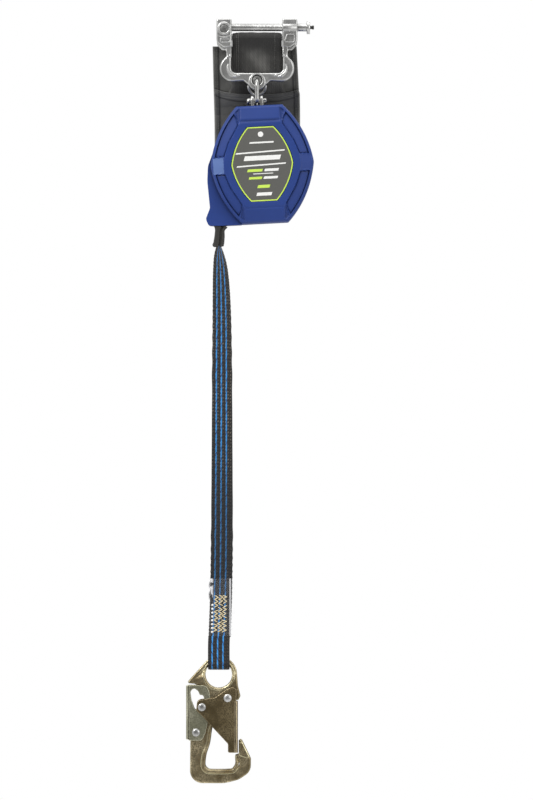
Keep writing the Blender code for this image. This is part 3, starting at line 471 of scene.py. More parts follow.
def rounded(corners, step=9.0):
    """An outline from (a, b) or (a, b, fillet radius) corners."""
    outline = []
    for i, corner in enumerate(corners):
        here = Vector(corner[:2])
        radius = corner[2] if len(corner) > 2 else 0.0
        if not radius:
            outline.append(tuple(here))
            continue
        back = (Vector(corners[i - 1][:2]) - here).normalized()
        ahead = (Vector(corners[(i + 1) % len(corners)][:2]) - here).normalized()
        half = back.angle(ahead) / 2
        centre = here + (back + ahead).normalized() * radius / math.sin(half)
        first = here + back * radius / math.tan(half) - centre
        turn = math.copysign(math.pi - 2 * half, -back.cross(ahead))
        pieces = max(1, round(abs(math.degrees(turn)) / step))
        for k in range(pieces + 1):
            outline.append(tuple(centre + Matrix.Rotation(turn * k / pieces, 2) @ first))
    return outline


def resample(outline, count):
    """Evenly spaced points round a closed outline."""
    pts = np.array([*outline, outline[0]], float)
    run = run_length(pts)
    goal = np.linspace(0, run[-1], count + 1)[:-1]
    return np.stack([np.interp(goal, run, pts[:, k]) for k in (0, 1)], axis=1)


def spline_path(points, per_span=10):
    """A Catmull-Rom curve through the points."""
    p = np.array(points, float)
    p = np.vstack([2 * p[0] - p[1], p, 2 * p[-1] - p[-2]])
    out = []
    for i in range(1, len(p) - 2):
        a, b, c, d = p[i - 1 : i + 3]
        bend = 2 * a - 5 * b + 4 * c - d
        twist = 3 * b - a - 3 * c + d
        for t in np.linspace(0, 1, per_span, endpoint=False):
            out.append(0.5 * (2 * b + (c - a) * t + bend * t**2 + twist * t**3))
    return np.array(out + [p[-2]])


def side_at(shield, v):
    """Half width of a shield at a height: its side is the arc through three places."""
    half_top, top, bow, side = shield
    a, b, c = Vector((half_top, top)), Vector(bow), Vector((side, 0.0))
    turn = 2 * (a.x * (b.y - c.y) + b.x * (c.y - a.y) + c.x * (a.y - b.y))
    sq = (a.length_squared, b.length_squared, c.length_squared)
    u = (sq[0] * (b.y - c.y) + sq[1] * (c.y - a.y) + sq[2] * (a.y - b.y)) / turn
    w = (sq[0] * (c.x - b.x) + sq[1] * (a.x - c.x) + sq[2] * (b.x - a.x)) / turn
    radius = math.hypot(half_top - u, top - w)
    return u + np.sqrt(np.maximum(radius**2 - (np.abs(v) - w) ** 2, 0.0))


def shield_outline(shield, steps=24):
    heights = np.linspace(shield[1], -shield[1], 2 * steps + 1)
    right = list(zip(side_at(shield, heights), heights))
    return right + [(-u, v) for u, v in reversed(right)]


def distance(outline, u, v):
    """Signed distance of points from a closed outline, positive inside."""
    pts = np.array(outline, float)
    best = np.full(u.shape, 1e9)
    inside = np.zeros(u.shape, bool)
    for (ax, ay), (bx, by) in zip(pts, np.roll(pts, -1, axis=0)):
        ex, ey = bx - ax, by - ay
        size = ex * ex + ey * ey
        if size < 1e-12:
            continue
        t = np.clip(((u - ax) * ex + (v - ay) * ey) / size, 0, 1)
        best = np.minimum(best, (u - ax - t * ex) ** 2 + (v - ay - t * ey) ** 2)
        crosses = (ay > v) != (by > v)
        inside ^= crosses & (u < ex * (v - ay) / (ey or 1e-12) + ax)
    return np.where(inside, 1, -1) * np.sqrt(best)


def inset(outline, amount):
    """The outline moved inwards; a negative amount moves it outwards."""
    pts = np.array(outline, float)
    before, after = np.roll(pts, 1, 0), np.roll(pts, -1, 0)
    side = np.sign(np.sum(before[:, 0] * pts[:, 1] - pts[:, 0] * before[:, 1]))
    left_of = np.array([[0.0, 1.0], [-1.0, 0.0]]) * side
    back, ahead = unit(pts - before) @ left_of, unit(after - pts) @ left_of
    mid = unit(back + ahead)
    moved = pts + mid * column(amount / np.sum(mid * back, axis=1))
    return [tuple(p) for p in moved]


# ---------------------------------------------------------------- meshes


def smooth(mesh, angle):
    mesh.shade_smooth()
    mesh.set_sharp_from_angle(angle=math.radians(angle))
    return mesh


def lattice(points, wrap=False, uv=None, caps=False, angle=60.0):
    """A mesh through an (n, m, 3) grid of points. wrap joins the last column to the first."""
    n, m = points.shape[:2]
    index = np.arange(n * m).reshape(n, m)
    j = np.arange(m if wrap else m - 1)
    beside = (j + 1) % m
    ring = [index[:-1][:, j], index[:-1][:, beside], index[1:][:, beside], index[1:][:, j]]
    faces = np.stack(ring, axis=-1).reshape(-1, 4).tolist()
    if caps:
        faces += [index[0][::-1].tolist(), index[-1].tolist()]
    mesh = bpy.data.meshes.new("piece")
    mesh.from_pydata((points.reshape(-1, 3) * MM).tolist(), [], faces)
    if uv is not None:
        rows = column(np.arange(n - 1))
        grid = [uv[rows, j], uv[rows, j + 1], uv[rows + 1, j + 1], uv[rows + 1, j]]
        flat = np.stack(grid, axis=2).reshape(-1, 2)
        full = np.zeros((len(mesh.loops), 2), np.float32)
        full[: len(flat)] = flat * MM
        mesh.uv_layers.new(name="UVMap").data.foreach_set("uv", full.ravel())
    mesh.update()
    return smooth(mesh, angle)


def plate(outlines, front, back, bevel, rounds=3):
    """A plate between two depths along Y with rounded rims. Outlines after the first are holes."""
    curve = bpy.data.curves.new("plate", "CURVE")
    curve.dimensions = "2D"
    curve.fill_mode = "BOTH"
    curve.extrude = (back - front) / 2 - bevel
    curve.bevel_depth = bevel
    curve.bevel_resolution = rounds
    curve.offset = -bevel
    for outline in outlines:
        spline = curve.splines.new("POLY")
        spline.points.add(len(outline) - 1)
        for point, (a, b) in zip(spline.points, outline):
            point.co = (a, b, 0.0, 1.0)
        spline.use_cyclic_u = True
    obj = bpy.data.objects.new("plate", curve)
    mesh = bpy.data.meshes.new_from_object(obj)
    bpy.data.objects.remove(obj)
    bpy.data.curves.remove(curve)
    upright = Matrix.Translation((0.0, (front + back) / 2, 0.0)) @ Matrix.Rotation(math.pi / 2, 4, "X")
    mesh.transform(Matrix.Scale(MM, 4) @ upright)
    return smooth(mesh, 60.0)


def revolved(profile, a, b, axis="Y", steps=48):
    """A surface of revolution about a line along Y or X, from a (depth, radius) profile."""
    profile = np.array(profile, float)
    turns = np.linspace(0, 2 * math.pi, steps, endpoint=False)
    depth = np.repeat(profile[:, :1], steps, axis=1)
    right, up = a + profile[:, 1:] * np.cos(turns), b + profile[:, 1:] * np.sin(turns)
    order = {"Y": (right, depth, up), "X": (depth, right, up)}[axis]
    return lattice(np.stack(order, axis=-1), wrap=True, angle=38.0)


def tube(path, radius, sides=10, closed=False):
    """A round tube along a path, with one radius or one for each point."""
    path = np.array(path, float)
    if closed:
        ahead = unit(np.roll(path, -1, 0) - np.roll(path, 1, 0))
    else:
        ahead = unit(np.gradient(path, axis=0))
    side = np.zeros_like(path)
    guide = np.array([0.0, 1.0, 0.0]) if abs(ahead[0, 1]) < 0.9 else np.array([1.0, 0.0, 0.0])
    for i, way in enumerate(ahead):
        guide = guide - way * guide.dot(way)
        guide /= np.linalg.norm(guide)
        side[i] = guide
    other = np.cross(ahead, side)
    t = np.linspace(0, 2 * math.pi, sides, endpoint=False)[None, :, None]
    radius = np.broadcast_to(np.array(radius, float), (len(path),))[:, None, None]
    ring = path[:, None] + radius * (side[:, None] * np.cos(t) + other[:, None] * np.sin(t))
    if closed:
        ring = np.concatenate([ring, ring[:1]])
    return lattice(ring, wrap=True, caps=not closed, angle=70.0)


def merged(meshes):
    """One mesh from several, keeping UVs."""
    bm = bmesh.new()
    for mesh in meshes:
        bm.from_mesh(mesh)
    out = bpy.data.meshes.new("merged")
    bm.to_mesh(out)
    bm.free()
    return smooth(out, 50.0)


def outward(mesh):
    bm = bmesh.new()
    bm.from_mesh(mesh)
    bmesh.ops.recalc_face_normals(bm, faces=bm.faces)
    bm.to_mesh(mesh)
    bm.free()
    return mesh


def prism(outline, front, back):
    rows = [[(a, y, b) for a, b in outline] for y in (front, back)]
    return outward(lattice(np.array(rows), wrap=True, caps=True))


def block(x, y, z):
    return prism([(x[0], z[0]), (x[1], z[0]), (x[1], z[1]), (x[0], z[1])], *y)


def carve(mesh, *tools, angle=38.0):
    """The mesh with the tools cut out of it."""
    target = shown("carved", outward(mesh))
    cutters = [shown("cutter", outward(tool)) for tool in tools]
    for cutter in cutters:
        cut = target.modifiers.new("cut", "BOOLEAN")
        cut.solver = "EXACT"
        cut.object = cutter
    graph = bpy.context.evaluated_depsgraph_get()
    out = bpy.data.meshes.new_from_object(target.evaluated_get(graph))
    for obj in [target, *cutters]:
        bpy.data.objects.remove(obj)
    return smooth(out, angle)


def dome(a, b, base, radius, rise):
    """A low dome on a front face, standing forward of base."""
    angles = np.linspace(0, math.pi / 2, 7)
    profile = [(base - rise * math.sin(t), radius * math.cos(t)) for t in angles]
    return revolved([(base + 1.0, radius), *profile], a, b, steps=24)


def stitch_line(path, pitch, length, radius):
    """Separate thread stitches lying along a path."""
    path = np.array(path, float)
    run = run_length(path)
    meshes = []
    for k in range(int(run[-1] / pitch)):
        ends = np.linspace(k * pitch, k * pitch + length, 3)
        line = np.stack([np.interp(ends, run, path[:, c]) for c in range(3)], axis=1)
        meshes.append(tube(line, [radius * 0.55, radius, radius * 0.55], 5))
    return merged(meshes)


def piece(name, mesh, finish, body, slot, *replaces, place=None):
    """Shows a mesh as a piece that rides on a CAD body, in the stead of the CAD nodes named."""
    mesh.name = name
    obj = shown(name, mesh)
    mesh.materials.clear()
    mesh.materials.append(finish.mat)
    if place is not None:
        mesh.transform(place)
    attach(obj, body)
    if replaces:
        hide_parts(*replaces)
    return obj


# ---------------------------------------------------------------- lifeline

# The cord's route from the mouth of the nozzle to the sewn loop, given point by point.
LINE_ROUTE = [
    (-38.2, 0.0, -200.0),
    (-38.0, 0.0, -222.0),
    (-36.4, 0.0, -245.0),
    (-35.2, 0.0, -285.0),
    (-34.9, 0.0, -350.0),
    (-34.9, 0.0, -430.0),
    (-35.1, 0.0, -510.0),
    (-35.9, -0.8, -565.0),
    (-37.4, -1.1, LOOP_TOP_Z),
]
LINE_END = [(HOOK[0], 0.0, -625.0), (HOOK[0], 0.0, -641.0)]
FOLD_ROUTE = [(-35.7, 1.35, SPLICE_TOP_Z - 2.0), (-36.4, 1.3, -580.0), (-37.4, 1.15, LOOP_TOP_Z + 0.4)]
FACE_ON = math.pi / 2


def ribbon(path, wide, thick, half_width, half_thick, start=0.0, flat=(-0.4, 0.0, 0.4)):
    """A woven band along a path, from its width and thickness directions at each point."""
    face = [(-1.0, 0.0), (-0.96, 0.8), (-0.8, 1.0), *((a, 1.0) for a in flat), (0.8, 1.0), (0.96, 0.8)]
    ring = np.array(face + [(-a, -b) for a, b in face])
    grid = path[:, None] + wide[:, None] * (ring[:, 0] * half_width)[None, :, None]
    grid = grid + thick[:, None] * (ring[:, 1] * half_thick)[None, :, None]
    u = np.append(ring[:, 0], ring[0, 0]) * half_width
    uv = np.stack(np.broadcast_arrays(u[None, :], column(run_length(path) + start)), axis=-1)
    return grid, uv


def band(path, turn, *sizes):
    """A hanging ribbon. turn takes its width from along Y, at 0, to along X."""
    turn = np.broadcast_to(turn, len(path))
    level = np.zeros(len(path))
    wide = np.stack([np.sin(turn), np.cos(turn), level], axis=1)
    thick = np.stack([np.cos(turn), -np.sin(turn), level], axis=1)
    return ribbon(path, wide, thick, *sizes)


def hanging_run(path):
    """The line itself: edge-on in the sleeve, it turns its face forward as it drops."""
    below = np.maximum(0, SLEEVE_BOTTOM_Z - path[:, 2])
    edge_on = 0.36 * np.exp(-below / 15.0) + 0.56 * np.exp(-below / 170.0) * ease(below, 330.0, 190.0)
    grid, uv = band(path, FACE_ON * (1 - edge_on), 11.0, 0.95)
    knots = 1 + 0.022 * np.sin(uv[:, :1, 1] * 2 * math.pi / 3.4)
    grid = path[:, None] + (grid - path[:, None]) * knots[:, :, None]
    z = path[:, 2]
    bend = 0.35 * np.sin(z * 0.021) + 0.2 * np.sin(z * 0.057 + 1.0)
    grid[:, :, 1] += column(bend * ease(-z, 260, 320) * ease(z, -600, -560))
    return lattice(grid, wrap=True, uv=uv, caps=True)


def eye_loop():
    """The sewn loop round the eye of the hook."""
    x, axis_z = SEWN_LOOP
    under = [(x, y, z) for y, z in circle(0.0, axis_z, 7.3, 39, 15.0, -210.0)][2:-2:3]
    front = [(x + 0.3, 0.9, LOOP_TOP_Z + 1.0), (x, 3.4, LOOP_TOP_Z - 9.0)]
    back = [(x, -3.4, LOOP_TOP_Z - 9.0), (x + 0.3, -1.3, LOOP_TOP_Z + 1.0)]
    path = spline_path(front + under + back, 8)
    wide = np.broadcast_to([1.0, 0.0, 0.0], path.shape)
    thick = np.cross(unit(np.gradient(path, axis=0)), wide)
    grid, uv = ribbon(path, wide, thick, 10.8, 0.85, 420.0, flat=(0.0,))
    return lattice(grid, wrap=True, uv=uv, caps=True)


def build_lifeline(finish):
    path = spline_path(LINE_ROUTE, 24)
    grid, uv = band(spline_path(FOLD_ROUTE, 20), FACE_ON, 10.9, 0.8, 700.0)
    fold = lattice(grid, wrap=True, uv=uv, caps=True)
    mesh = merged([hanging_run(path), eye_loop(), fold])
    obj = piece("woven_line", mesh, finish, "line", "lifeline", "lifeline", "eye_loop", "splice_fold")
    return obj, np.vstack([path, LINE_END])


def build_feed(finish):
    """Webbing between the drum and the sleeve; it draws out as the line is paid out."""
    z = np.concatenate([np.linspace(-150.0, -186.0, 10), np.linspace(-186.2, -201.5, 150)])
    path = np.stack([np.interp(-z, [150.0, 201.5], [-35.2, -38.2]), np.zeros_like(z), z], axis=1)
    grid, uv = band(path, 0.0, 10.9, 0.8)
    mesh = lattice(grid, wrap=True, uv=uv, caps=True)
    mesh.materials.append(finish.mat)
    obj = shown("feed_run", mesh)
    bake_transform(obj)
    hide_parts("feed_webbing")


def build_sleeve():
    """Rubber bumper on the line: flared lip, waist and an uneven folded hem."""
    across = np.concatenate([np.linspace(-1, 1, 45), np.linspace(1, -1, 45)[1:-1]])
    side = np.concatenate([np.full(45, -1.0), np.ones(43)])
    t = column(np.linspace(0, 1, 46))
    left_side = [-43.3, -42.3, -42.0, -42.6, -43.6, -44.7, -44.2]
    left = np.interp(t, [0, 0.07, 0.2, 0.5, 0.8, 0.92, 1], left_side)
    right_side = [-30.9, -29.3, -31.6, -32.4, -32.2, -32.7, -33.4]
    right = np.interp(t, [0, 0.05, 0.16, 0.24, 0.5, 0.85, 1], right_side)
    half_y = np.interp(t, [0, 0.16, 0.85, 1], [13.0, 12.4, 12.6, 12.9])
    x = (left + right) / 2 + (right - left) / 2 * across
    groove = 2.6 * hump(x - left - 0.63 * (right - left), 0.75)
    ridge = 0.7 * hump(x - right + 1.2, 0.6) + 0.5 * hump(x - left - 1.0, 0.6)
    bulge = side * (1 - np.abs(across) ** 9) ** 0.5
    y = bulge * (half_y - groove + ridge * (np.abs(across) < 0.9))
    z = SLEEVE_TOP_Z - 20.0 * t + 0.5 * np.sin(x * 1.1 + side) * (t > 0.9)
    outer = np.stack([x, y, z], axis=-1)
    inner = outer[::-1].copy()
    middle = inner[:, :, 0].mean(axis=1, keepdims=True)
    inner[:, :, 0] = middle + (inner[:, :, 0] - middle) * 0.5
    inner[:, :, 1] = np.clip(inner[:, :, 1] * 1.4, -11.3, 11.3)
    rubber = plastic_finish("sleeve_rubber", srgb(52, 51, 48), 0.62, 1400.0)
    shell = lattice(np.concatenate([outer, inner]), wrap=True)
    return piece("bumper_sleeve", shell, rubber, "line", "sleeve", "stop_sleeve")


def squarish(value):
    return np.sign(value) * np.abs(value) ** 0.4


def splice_wrap():
    """Open-ended sleeve of clear film round the splice."""
    t = column(np.linspace(0, 1, 40))
    angle = np.linspace(0, 2 * math.pi, 64, endpoint=False)
    middle = np.interp(t, [0, 0.5, 1], [-35.7, -36.5, -37.3])
    x = middle + (12.1 + 0.25 * np.sin(t * 9.0)) * squarish(np.cos(angle))
    y = 0.1 + (2.9 + 0.2 * np.sin(5 * angle + 7 * t)) * squarish(np.sin(angle))
    z = SPLICE_TOP_Z + (LOOP_TOP_Z + 1.0 - SPLICE_TOP_Z) * t
    outer = np.stack(np.broadcast_arrays(x, y, z), axis=-1)
    inner = outer[::-1]
    centre = inner.mean(axis=1, keepdims=True)
    inner = centre + (inner - centre) * np.array([0.975, 0.85, 1.0])
    return lattice(np.concatenate([outer, inner]), wrap=True)


def zigzags():
    """Three columns of zigzag stitches on each face of the splice, with a stitch missing here and there."""
    meshes = []
    for col, (x0, x1) in enumerate(((-42.4, -38.4), (-38.2, -34.0), (-33.9, -29.6))):
        z = np.arange(-567.5, -606.0, -2.05)
        wide = np.where(np.arange(len(z)) % 2 == 0, x0, x1) + RNG.normal(0, 0.35, len(z))
        lean = -1.4 * (z + 568.0) / -38.0
        for y in (-2.2, 2.4):
            line = np.stack([wide + lean, np.full_like(z, y), z + RNG.normal(0, 0.25, len(z))], axis=1)
            for k in range(len(z) - 1):
                if (k + col) % 7 == 6:
                    continue
                middle = (line[k] + line[k + 1]) / 2 + np.array([0.0, math.copysign(0.25, y), 0.0])
                meshes.append(tube([line[k], middle, line[k + 1]], [0.35, 0.6, 0.35], 6))
    return merged(meshes)


def tag_side(x, sway, period, depths, rows):
    return [[(x + sway * math.sin(k / period), y, -560.5 - k) for y in depths] for k in rows]


def build_splice():
    wrap = piece("clear_wrap", splice_wrap(), clear_finish(), "line", "clear_sleeve", "splice_sleeve")
    thread = mottled("bonded_thread", srgb(200, 178, 128), srgb(246, 234, 198), 0.6, 900.0)
    thread.bump(thread.noise(1800.0), 0.5, 0.0001)
    stitches = piece("splice_stitches", zigzags(), thread, "line", "lifeline")
    bead = [(-3.5, 0.0), (-3.35, 0.8), (-2.9, 1.15), (-2.4, 0.9)]
    dots = [revolved(bead, -44.5 - 0.07 * k, -577.4 - 3.85 * k, steps=14) for k in range(8)]
    white = mottled("tack_marks", srgb(225, 225, 220), srgb(250, 250, 247), 0.5, 700.0)
    tacks = piece("tack_marks", merged(dots), white, "line", "clear_sleeve")
    rows = tag_side(-25.6, 0.6, 3, (-1.4, 0.6), range(26))
    rows += tag_side(-22.4, 0.7, 4, (-1.2, 0.4), range(25, -1, -1))
    film = plastic_finish("tag_film", srgb(44, 44, 44), 0.4)
    tag = piece("wrap_tag", lattice(np.array(rows)), film, "line", "clear_sleeve")
    return [wrap, stitches, tacks, tag]


# ---------------------------------------------------------------- casing

FACE_REACH = 26.4
LAND_WIDTH = 7.5
SHELL_WALL = 2.4
# Corners are (across, up) from the drum, and the front face repeats them on all its sides.
PAD = [(37.2, 8.4, 1.5), (32.4, 21.6, 12.0), (21.4, 39.6, 2.0), (23.0, 46.5, 3.0), (27.0, 53.0),
       (60.0, 53.0), (60.0, 8.4)]
FACET = [(19.6, 43.0), (19.0, 57.6), (25.2, 53.0), (24.0, 46.5), (22.2, 39.6)]
GRIP = [(38.4, -8.0, 0.8), (49.2, -8.0), (49.2, 8.0), (38.4, 8.0, 0.8)]
REAR_PANEL = [(-21.0, -25.0, 4.0), (21.0, -25.0, 4.0), (21.0, 25.0, 4.0), (-21.0, 25.0, 4.0)]
TAIL = [(-30.0, 10.0), (-48.8, 12.5), (-53.8, 1.0, 14.0), (-55.2, -14.0, 30.0), (-53.9, -41.0, 8.0),
        (-58.7, -51.5, 5.0), (-56.2, -57.6, 3.5), (-46.0, -58.4), (-24.0, -58.5), (-10.0, -45.0)]


def front_reach(u, v):
    """How far forward the front cover's face stands at (u, v)."""
    rim = distance(shield_outline(BODY_SHIELD), u, v)
    label = distance(shield_outline(LABEL_SHIELD), u, v)
    past_land = np.maximum(0.0, -label - LAND_WIDTH)
    share = past_land / np.maximum(past_land + np.maximum(rim - 3.0, 0.0), 1e-6)
    reach = FACE_REACH - 2.7 * share - 2.8 * np.clip((3.0 - rim) / 3.0, 0, 1) ** 2
    across, up = np.abs(u), np.abs(v)
    pad = np.minimum(distance(rounded(PAD), across, up), rim - 2.7)
    facet = np.minimum(distance(FACET, across, up), rim - 1.0)
    sunk = np.maximum(1.7 * ease(pad, 0.0, 0.5), 1.6 * ease(facet, 0.0, 2.0)) + 0.5 * hump(pad - 0.7, 0.45)
    groove = 1.1 * hump(v - 43.2, 1.2) * ease(21.0 - across, 0.0, 2.5)
    groove += 0.5 * hump(v + 43.6, 1.0) * ease(20.0 - across, 0.0, 2.5)
    grip = 0.45 * ease(distance(rounded(GRIP), across, v), 0.0, 0.4)
    return reach - np.maximum(np.maximum(sunk, groove), grip) - 1.1 * ease(label, -0.55, -0.35)


def rear_reach(u, v):
    rim = distance(shield_outline(BODY_SHIELD), u, v)
    reach = 16.6 + 11.2 * np.clip(rim / 9.0, 0, 1) ** 0.85
    reach -= 0.6 * ease(distance(rounded(REAR_PANEL), u, v), 0.0, 0.6)
    rib = distance(shield_outline(REAR_RIB_SHIELD), u, v)
    return reach - 0.5 * hump(rib, 0.7)


def shell_mesh(reach, sign, wall_y, inner_y):
    """Closed shell: a face by reach(u, v), a side wall back to wall_y, and its inside at inner_y."""
    edge = resample(shield_outline(BODY_SHIELD, 60), 360)
    shares = column(np.concatenate([np.linspace(0.004, 0.9, 84), np.linspace(0.905, 1.0, 22)]))
    u, v = shares * edge[:, 0], shares * edge[:, 1]
    rows = [np.stack([u, sign * reach(u, v), v], axis=-1)]
    last = rows[0][-1]
    for share in (0.1, 0.5, 1.0):
        ring = last.copy()
        ring[:, 1] += (wall_y - ring[:, 1]) * share
        rows.append(ring[None])
    inner = np.array(inset(edge, SHELL_WALL))
    for share, y in ((1.0, wall_y), (1.0, inner_y), (0.6, inner_y), (0.004, inner_y)):
        depth = np.full(len(inner), y)
        rows.append(np.stack([inner[:, 0] * share, depth, inner[:, 1] * share], axis=-1)[None])
    return lattice(np.concatenate(rows), wrap=True, caps=True, angle=34.0)


def top_slot():
    """The opening in the top of the casing round the clevis."""
    return block((HANG_U - 11.5, HANG_U + 11.5), (-13.0, 13.0), (50.0, 70.0))


def build_front_cover(plastic, lit_grip):
    shell = shell_mesh(front_reach, -1.0, -2.5, -21.4)
    tail_room = prism(inset(rounded(TAIL, 6.0), -0.5), -13.9, 10.0)
    mesh = carve(shell, top_slot(), tail_room, angle=30.0)
    piece("front_shell", mesh, plastic, "device", "blue_plastic", "front_cover", place=CASING)
    mesh.materials.append(lit_grip.mat)
    # only the left grip band takes the lighter grip plastic: its own texture, and a painted highlight where light
    # falls on the left
    centres = np.zeros(len(mesh.polygons) * 3, np.float32)
    mesh.polygons.foreach_get("center", centres)
    back = np.array(CASING.inverted())
    u, y, v = (back[:3, :3] @ centres.reshape(-1, 3).T + back[:3, 3:]) / MM
    lit_grip_faces = (distance(rounded(GRIP), -u, v) > 0.1) & (y < -21.0)
    mesh.polygons.foreach_set("material_index", lit_grip_faces.astype(np.int32))


def build_rear_cover(plastic):
    shell = shell_mesh(rear_reach, 1.0, -2.2, 25.7)
    corners = [(side * 18.0, above * 44.0) for side in (-1, 1) for above in (-1, 1)]
    wells = [prism(circle(*corner, 3.9, 32), 25.2, 40.0) for corner in corners]
    shell = carve(shell, top_slot(), *wells, angle=30.0)
    outline = rounded(TAIL, 6.0)
    room = prism(inset(shield_outline(BODY_SHIELD), SHELL_WALL), -30.0, 15.0)
    hollow = prism(inset(outline, 2.6), -11.0, 21.0)
    mouth = block((-50.4, -42.4), (-12.6, 12.6), (-75.0, -50.0))
    tail = carve(plate([outline], -13.4, 23.6, 2.4, 5), room, hollow, mouth, angle=30.0)
    mesh = merged([shell, tail])
    piece("rear_shell", mesh, plastic, "device", "blue_plastic", "rear_cover", place=CASING)


# ---------------------------------------------------------------- label

# Plain bars stand in for the print: (u, v, width, height).
LIME_BARS = ((-7.6, -6.2, 15.0, 2.6), (-7.4, -13.8, 13.0, 2.4), (0.4, -22.4, 12.0, 3.0))
WHITE_BARS = ((0.4, 21.4, 24.0, 1.6), (0.4, 6.0, 36.0, 4.6), (9.0, -6.2, 14.0, 2.6), (0.4, -9.6, 20.0, 0.8),
              (7.8, -13.8, 14.0, 2.4), (0.5, -30.0, 15.0, 3.2))
# Long rules: (left, right, height at the left, rise).
RULES = ((-25.6, 23.2, 11.9, 1.6), (-25.1, 23.7, -1.1, 1.5))
RULE_WIDTH = 1.4


def printed(*outlines):
    return plate(outlines, -26.27, -26.0, 0.06, 1)


def slanted_bar(u, v, width, height):
    """One printed bar, leaning forward."""
    lean = height * 0.18
    shape = ((-1, -1), (1, -1), (1, 1), (-1, 1))
    return printed([(u + a * width / 2 + b * lean, v + b * height / 2) for a, b in shape])


def rule(left, right, height, rise):
    low = height - RULE_WIDTH
    return printed([(left, height), (right, height + rise), (right - 0.6, low + rise), (left - 0.6, low)])


def build_label():
    outer = rounded([(*p, 1.2) for p in shield_outline(LABEL_SHIELD, 9)], 12.0)
    film = print_finish("label_print", srgb(82, 82, 78), srgb(94, 94, 90), 1500.0, 2.0)
    lime = print_finish("label_border", srgb(192, 222, 84), srgb(206, 236, 98), 600.0)
    white = print_finish("label_stripe", srgb(228, 228, 224), srgb(242, 242, 240), 600.0)
    sheet = plate([outer], -26.15, -25.35, 0.15, 1)
    piece("label_sheet", sheet, film, "device", "label", "label_plate", place=CASING)
    green = merged([printed(outer, inset(outer, 1.15)), *(slanted_bar(*bar) for bar in LIME_BARS)])
    piece("label_border", green, lime, "device", "label", place=CASING)
    stripes = [rule(*line) for line in RULES] + [slanted_bar(*bar) for bar in WHITE_BARS]
    disc = printed(circle(-0.2, 29.6, 2.7, 28))
    piece("label_stripes", merged([*stripes, disc]), white, "device", "label", place=CASING)


# ---------------------------------------------------------------- dorsal connector

EYE_Z = -52.7
EAR_FRONT = -8.0
EAR = [(25.3, -19.5, 1.5), (33.0, -20.5, 4.0), (40.5, -15.0, 6.0), (40.5, 8.5, 2.4), (25.3, 8.5, 1.5)]
STEP = [(30.6, -18.0, 0.8), (25.7, -18.0), (25.7, -30.4, 0.5), (28.6, -30.4, 2.0), (30.6, -25.0, 2.0)]
POCKET = [(30.4, -7.6, 1.2), (36.8, -7.6, 1.2), (36.8, -14.6, 1.2), (27.6, -14.6, 1.2)]
PILL = [(-37.2, -11.4, 2.0), (-26.6, -11.4, 2.0), (-26.6, -15.8, 2.0), (-37.2, -15.8, 2.0)]
RETAINER = (-32.9, -1.5)


def yoke_outline():
    """The arms in one line: down the left ear, through the boss, up the right, round the window."""
    left = [(-25.8, 7.5), (-39.5, 7.5), (-40.2, -17.5, 6.0), (-34.5, -23.4, 4.0), (-30.6, -23.0, 1.5),
            (-30.6, -28.4, 2.0), *circle(-24.0, -41.0, 13.2, 14, 126.0, 138.0), (-13.0, -53.6, 4.0),
            (-6.0, -60.0, 4.0)]
    window = [(25.8, -45.5, 5.0), (-25.8, -45.5, 5.0)]
    return rounded([*left, (0.0, -62.4, 6.0), *mirrored(left[::-1], -1), *window])


def pin_bore(start, end, radius, z, steps):
    return revolved([(start, 0.01), (start, radius), (end, radius), (end, 0.01)], 0.0, z, "X", steps)


def yoke_side(side):
    """An ear with its bores, and the step, dots and swelling of the arm below it."""
    tools = [pin_bore(-34.0, 44.0, 4.15, 0.0, 40), pin_bore(-29.6, 29.6, 3.2, STRAP_BAR[1], 32)]
    if side > 0:
        tools.append(prism(rounded(POCKET), EAR_FRONT - 2.0, EAR_FRONT + 1.3))
    ear = carve(plate([rounded(mirrored(EAR, side))], EAR_FRONT, 8.0, 1.4, 5), *tools)
    step = plate([rounded(mirrored(STEP, side))], -6.3, -3.0, 0.5)
    arc = [(side * a, -4.7, b) for a, b in circle(20.5, -40.3, 8.9, 24, -88.0, 112.0)]
    swell = np.interp(np.linspace(0, 1, len(arc)), [0, 0.2, 0.5, 1], [1.0, 1.8, 1.7, 0.6])
    dots = [dome(side * 27.0, -28.2, -6.2, 1.0, 0.6), dome(side * 18.6, -48.0, -4.9, 1.4, 1.0)]
    return [ear, step, tube(arc, swell, 16), *dots]


def yoke_bosses():
    """The raised rings and rims cast on the yoke's front."""
    eye = circle(0.0, EYE_Z, 5.2, 48)
    ring = [(-5.0, 7.0), (-8.9, 7.0), (-9.6, 6.6), (-10.0, 5.9), (-10.0, 5.2), (-9.7, 4.6), (-8.8, 4.2)]
    lip = [(a, -8.5, b) for a, b in circle(*RETAINER, 8.9, 20, 218.0, 104.0)]
    pocket, pill = rounded(POCKET), rounded(PILL)
    return [
        plate([yoke_outline(), eye], -5.0, 5.0, 1.8, 5),
        plate([circle(0.0, -54.3, 8.6, 64), eye], -5.75, 5.75, 1.1, 4),
        revolved(ring, *RETAINER, steps=56),
        tube(lip, np.interp(np.linspace(0, 1, len(lip)), [0, 0.5, 1], [0.4, 1.2, 0.4]), 12),
        plate([pill, inset(pill, 1.1)], -8.7, -7.6, 0.3),
        plate([inset(pocket, -0.7), pocket], -8.5, -7.6, 0.3),
        revolved([(25.7, 3.8), (26.3, 4.7), (39.4, 4.7), (40.2, 3.8)], -5.0, -0.6, "X"),
    ]


def build_yoke(cast, recess_shade_steel):
    mesh = merged([*yoke_side(-1), *yoke_side(1), *yoke_bosses()])
    piece("yoke_casting", mesh, cast, "connector", "cast_steel", "yoke")
    # the floor of the retainer's well takes the darker steel: painted shade in the recess
    well = revolved([(-9.2, 0.01), (-9.2, 2.0), (-9.0, 3.4), (-8.6, 4.6)], *RETAINER, steps=40)
    piece("retainer_face", well, recess_shade_steel, "connector", "cast_steel")


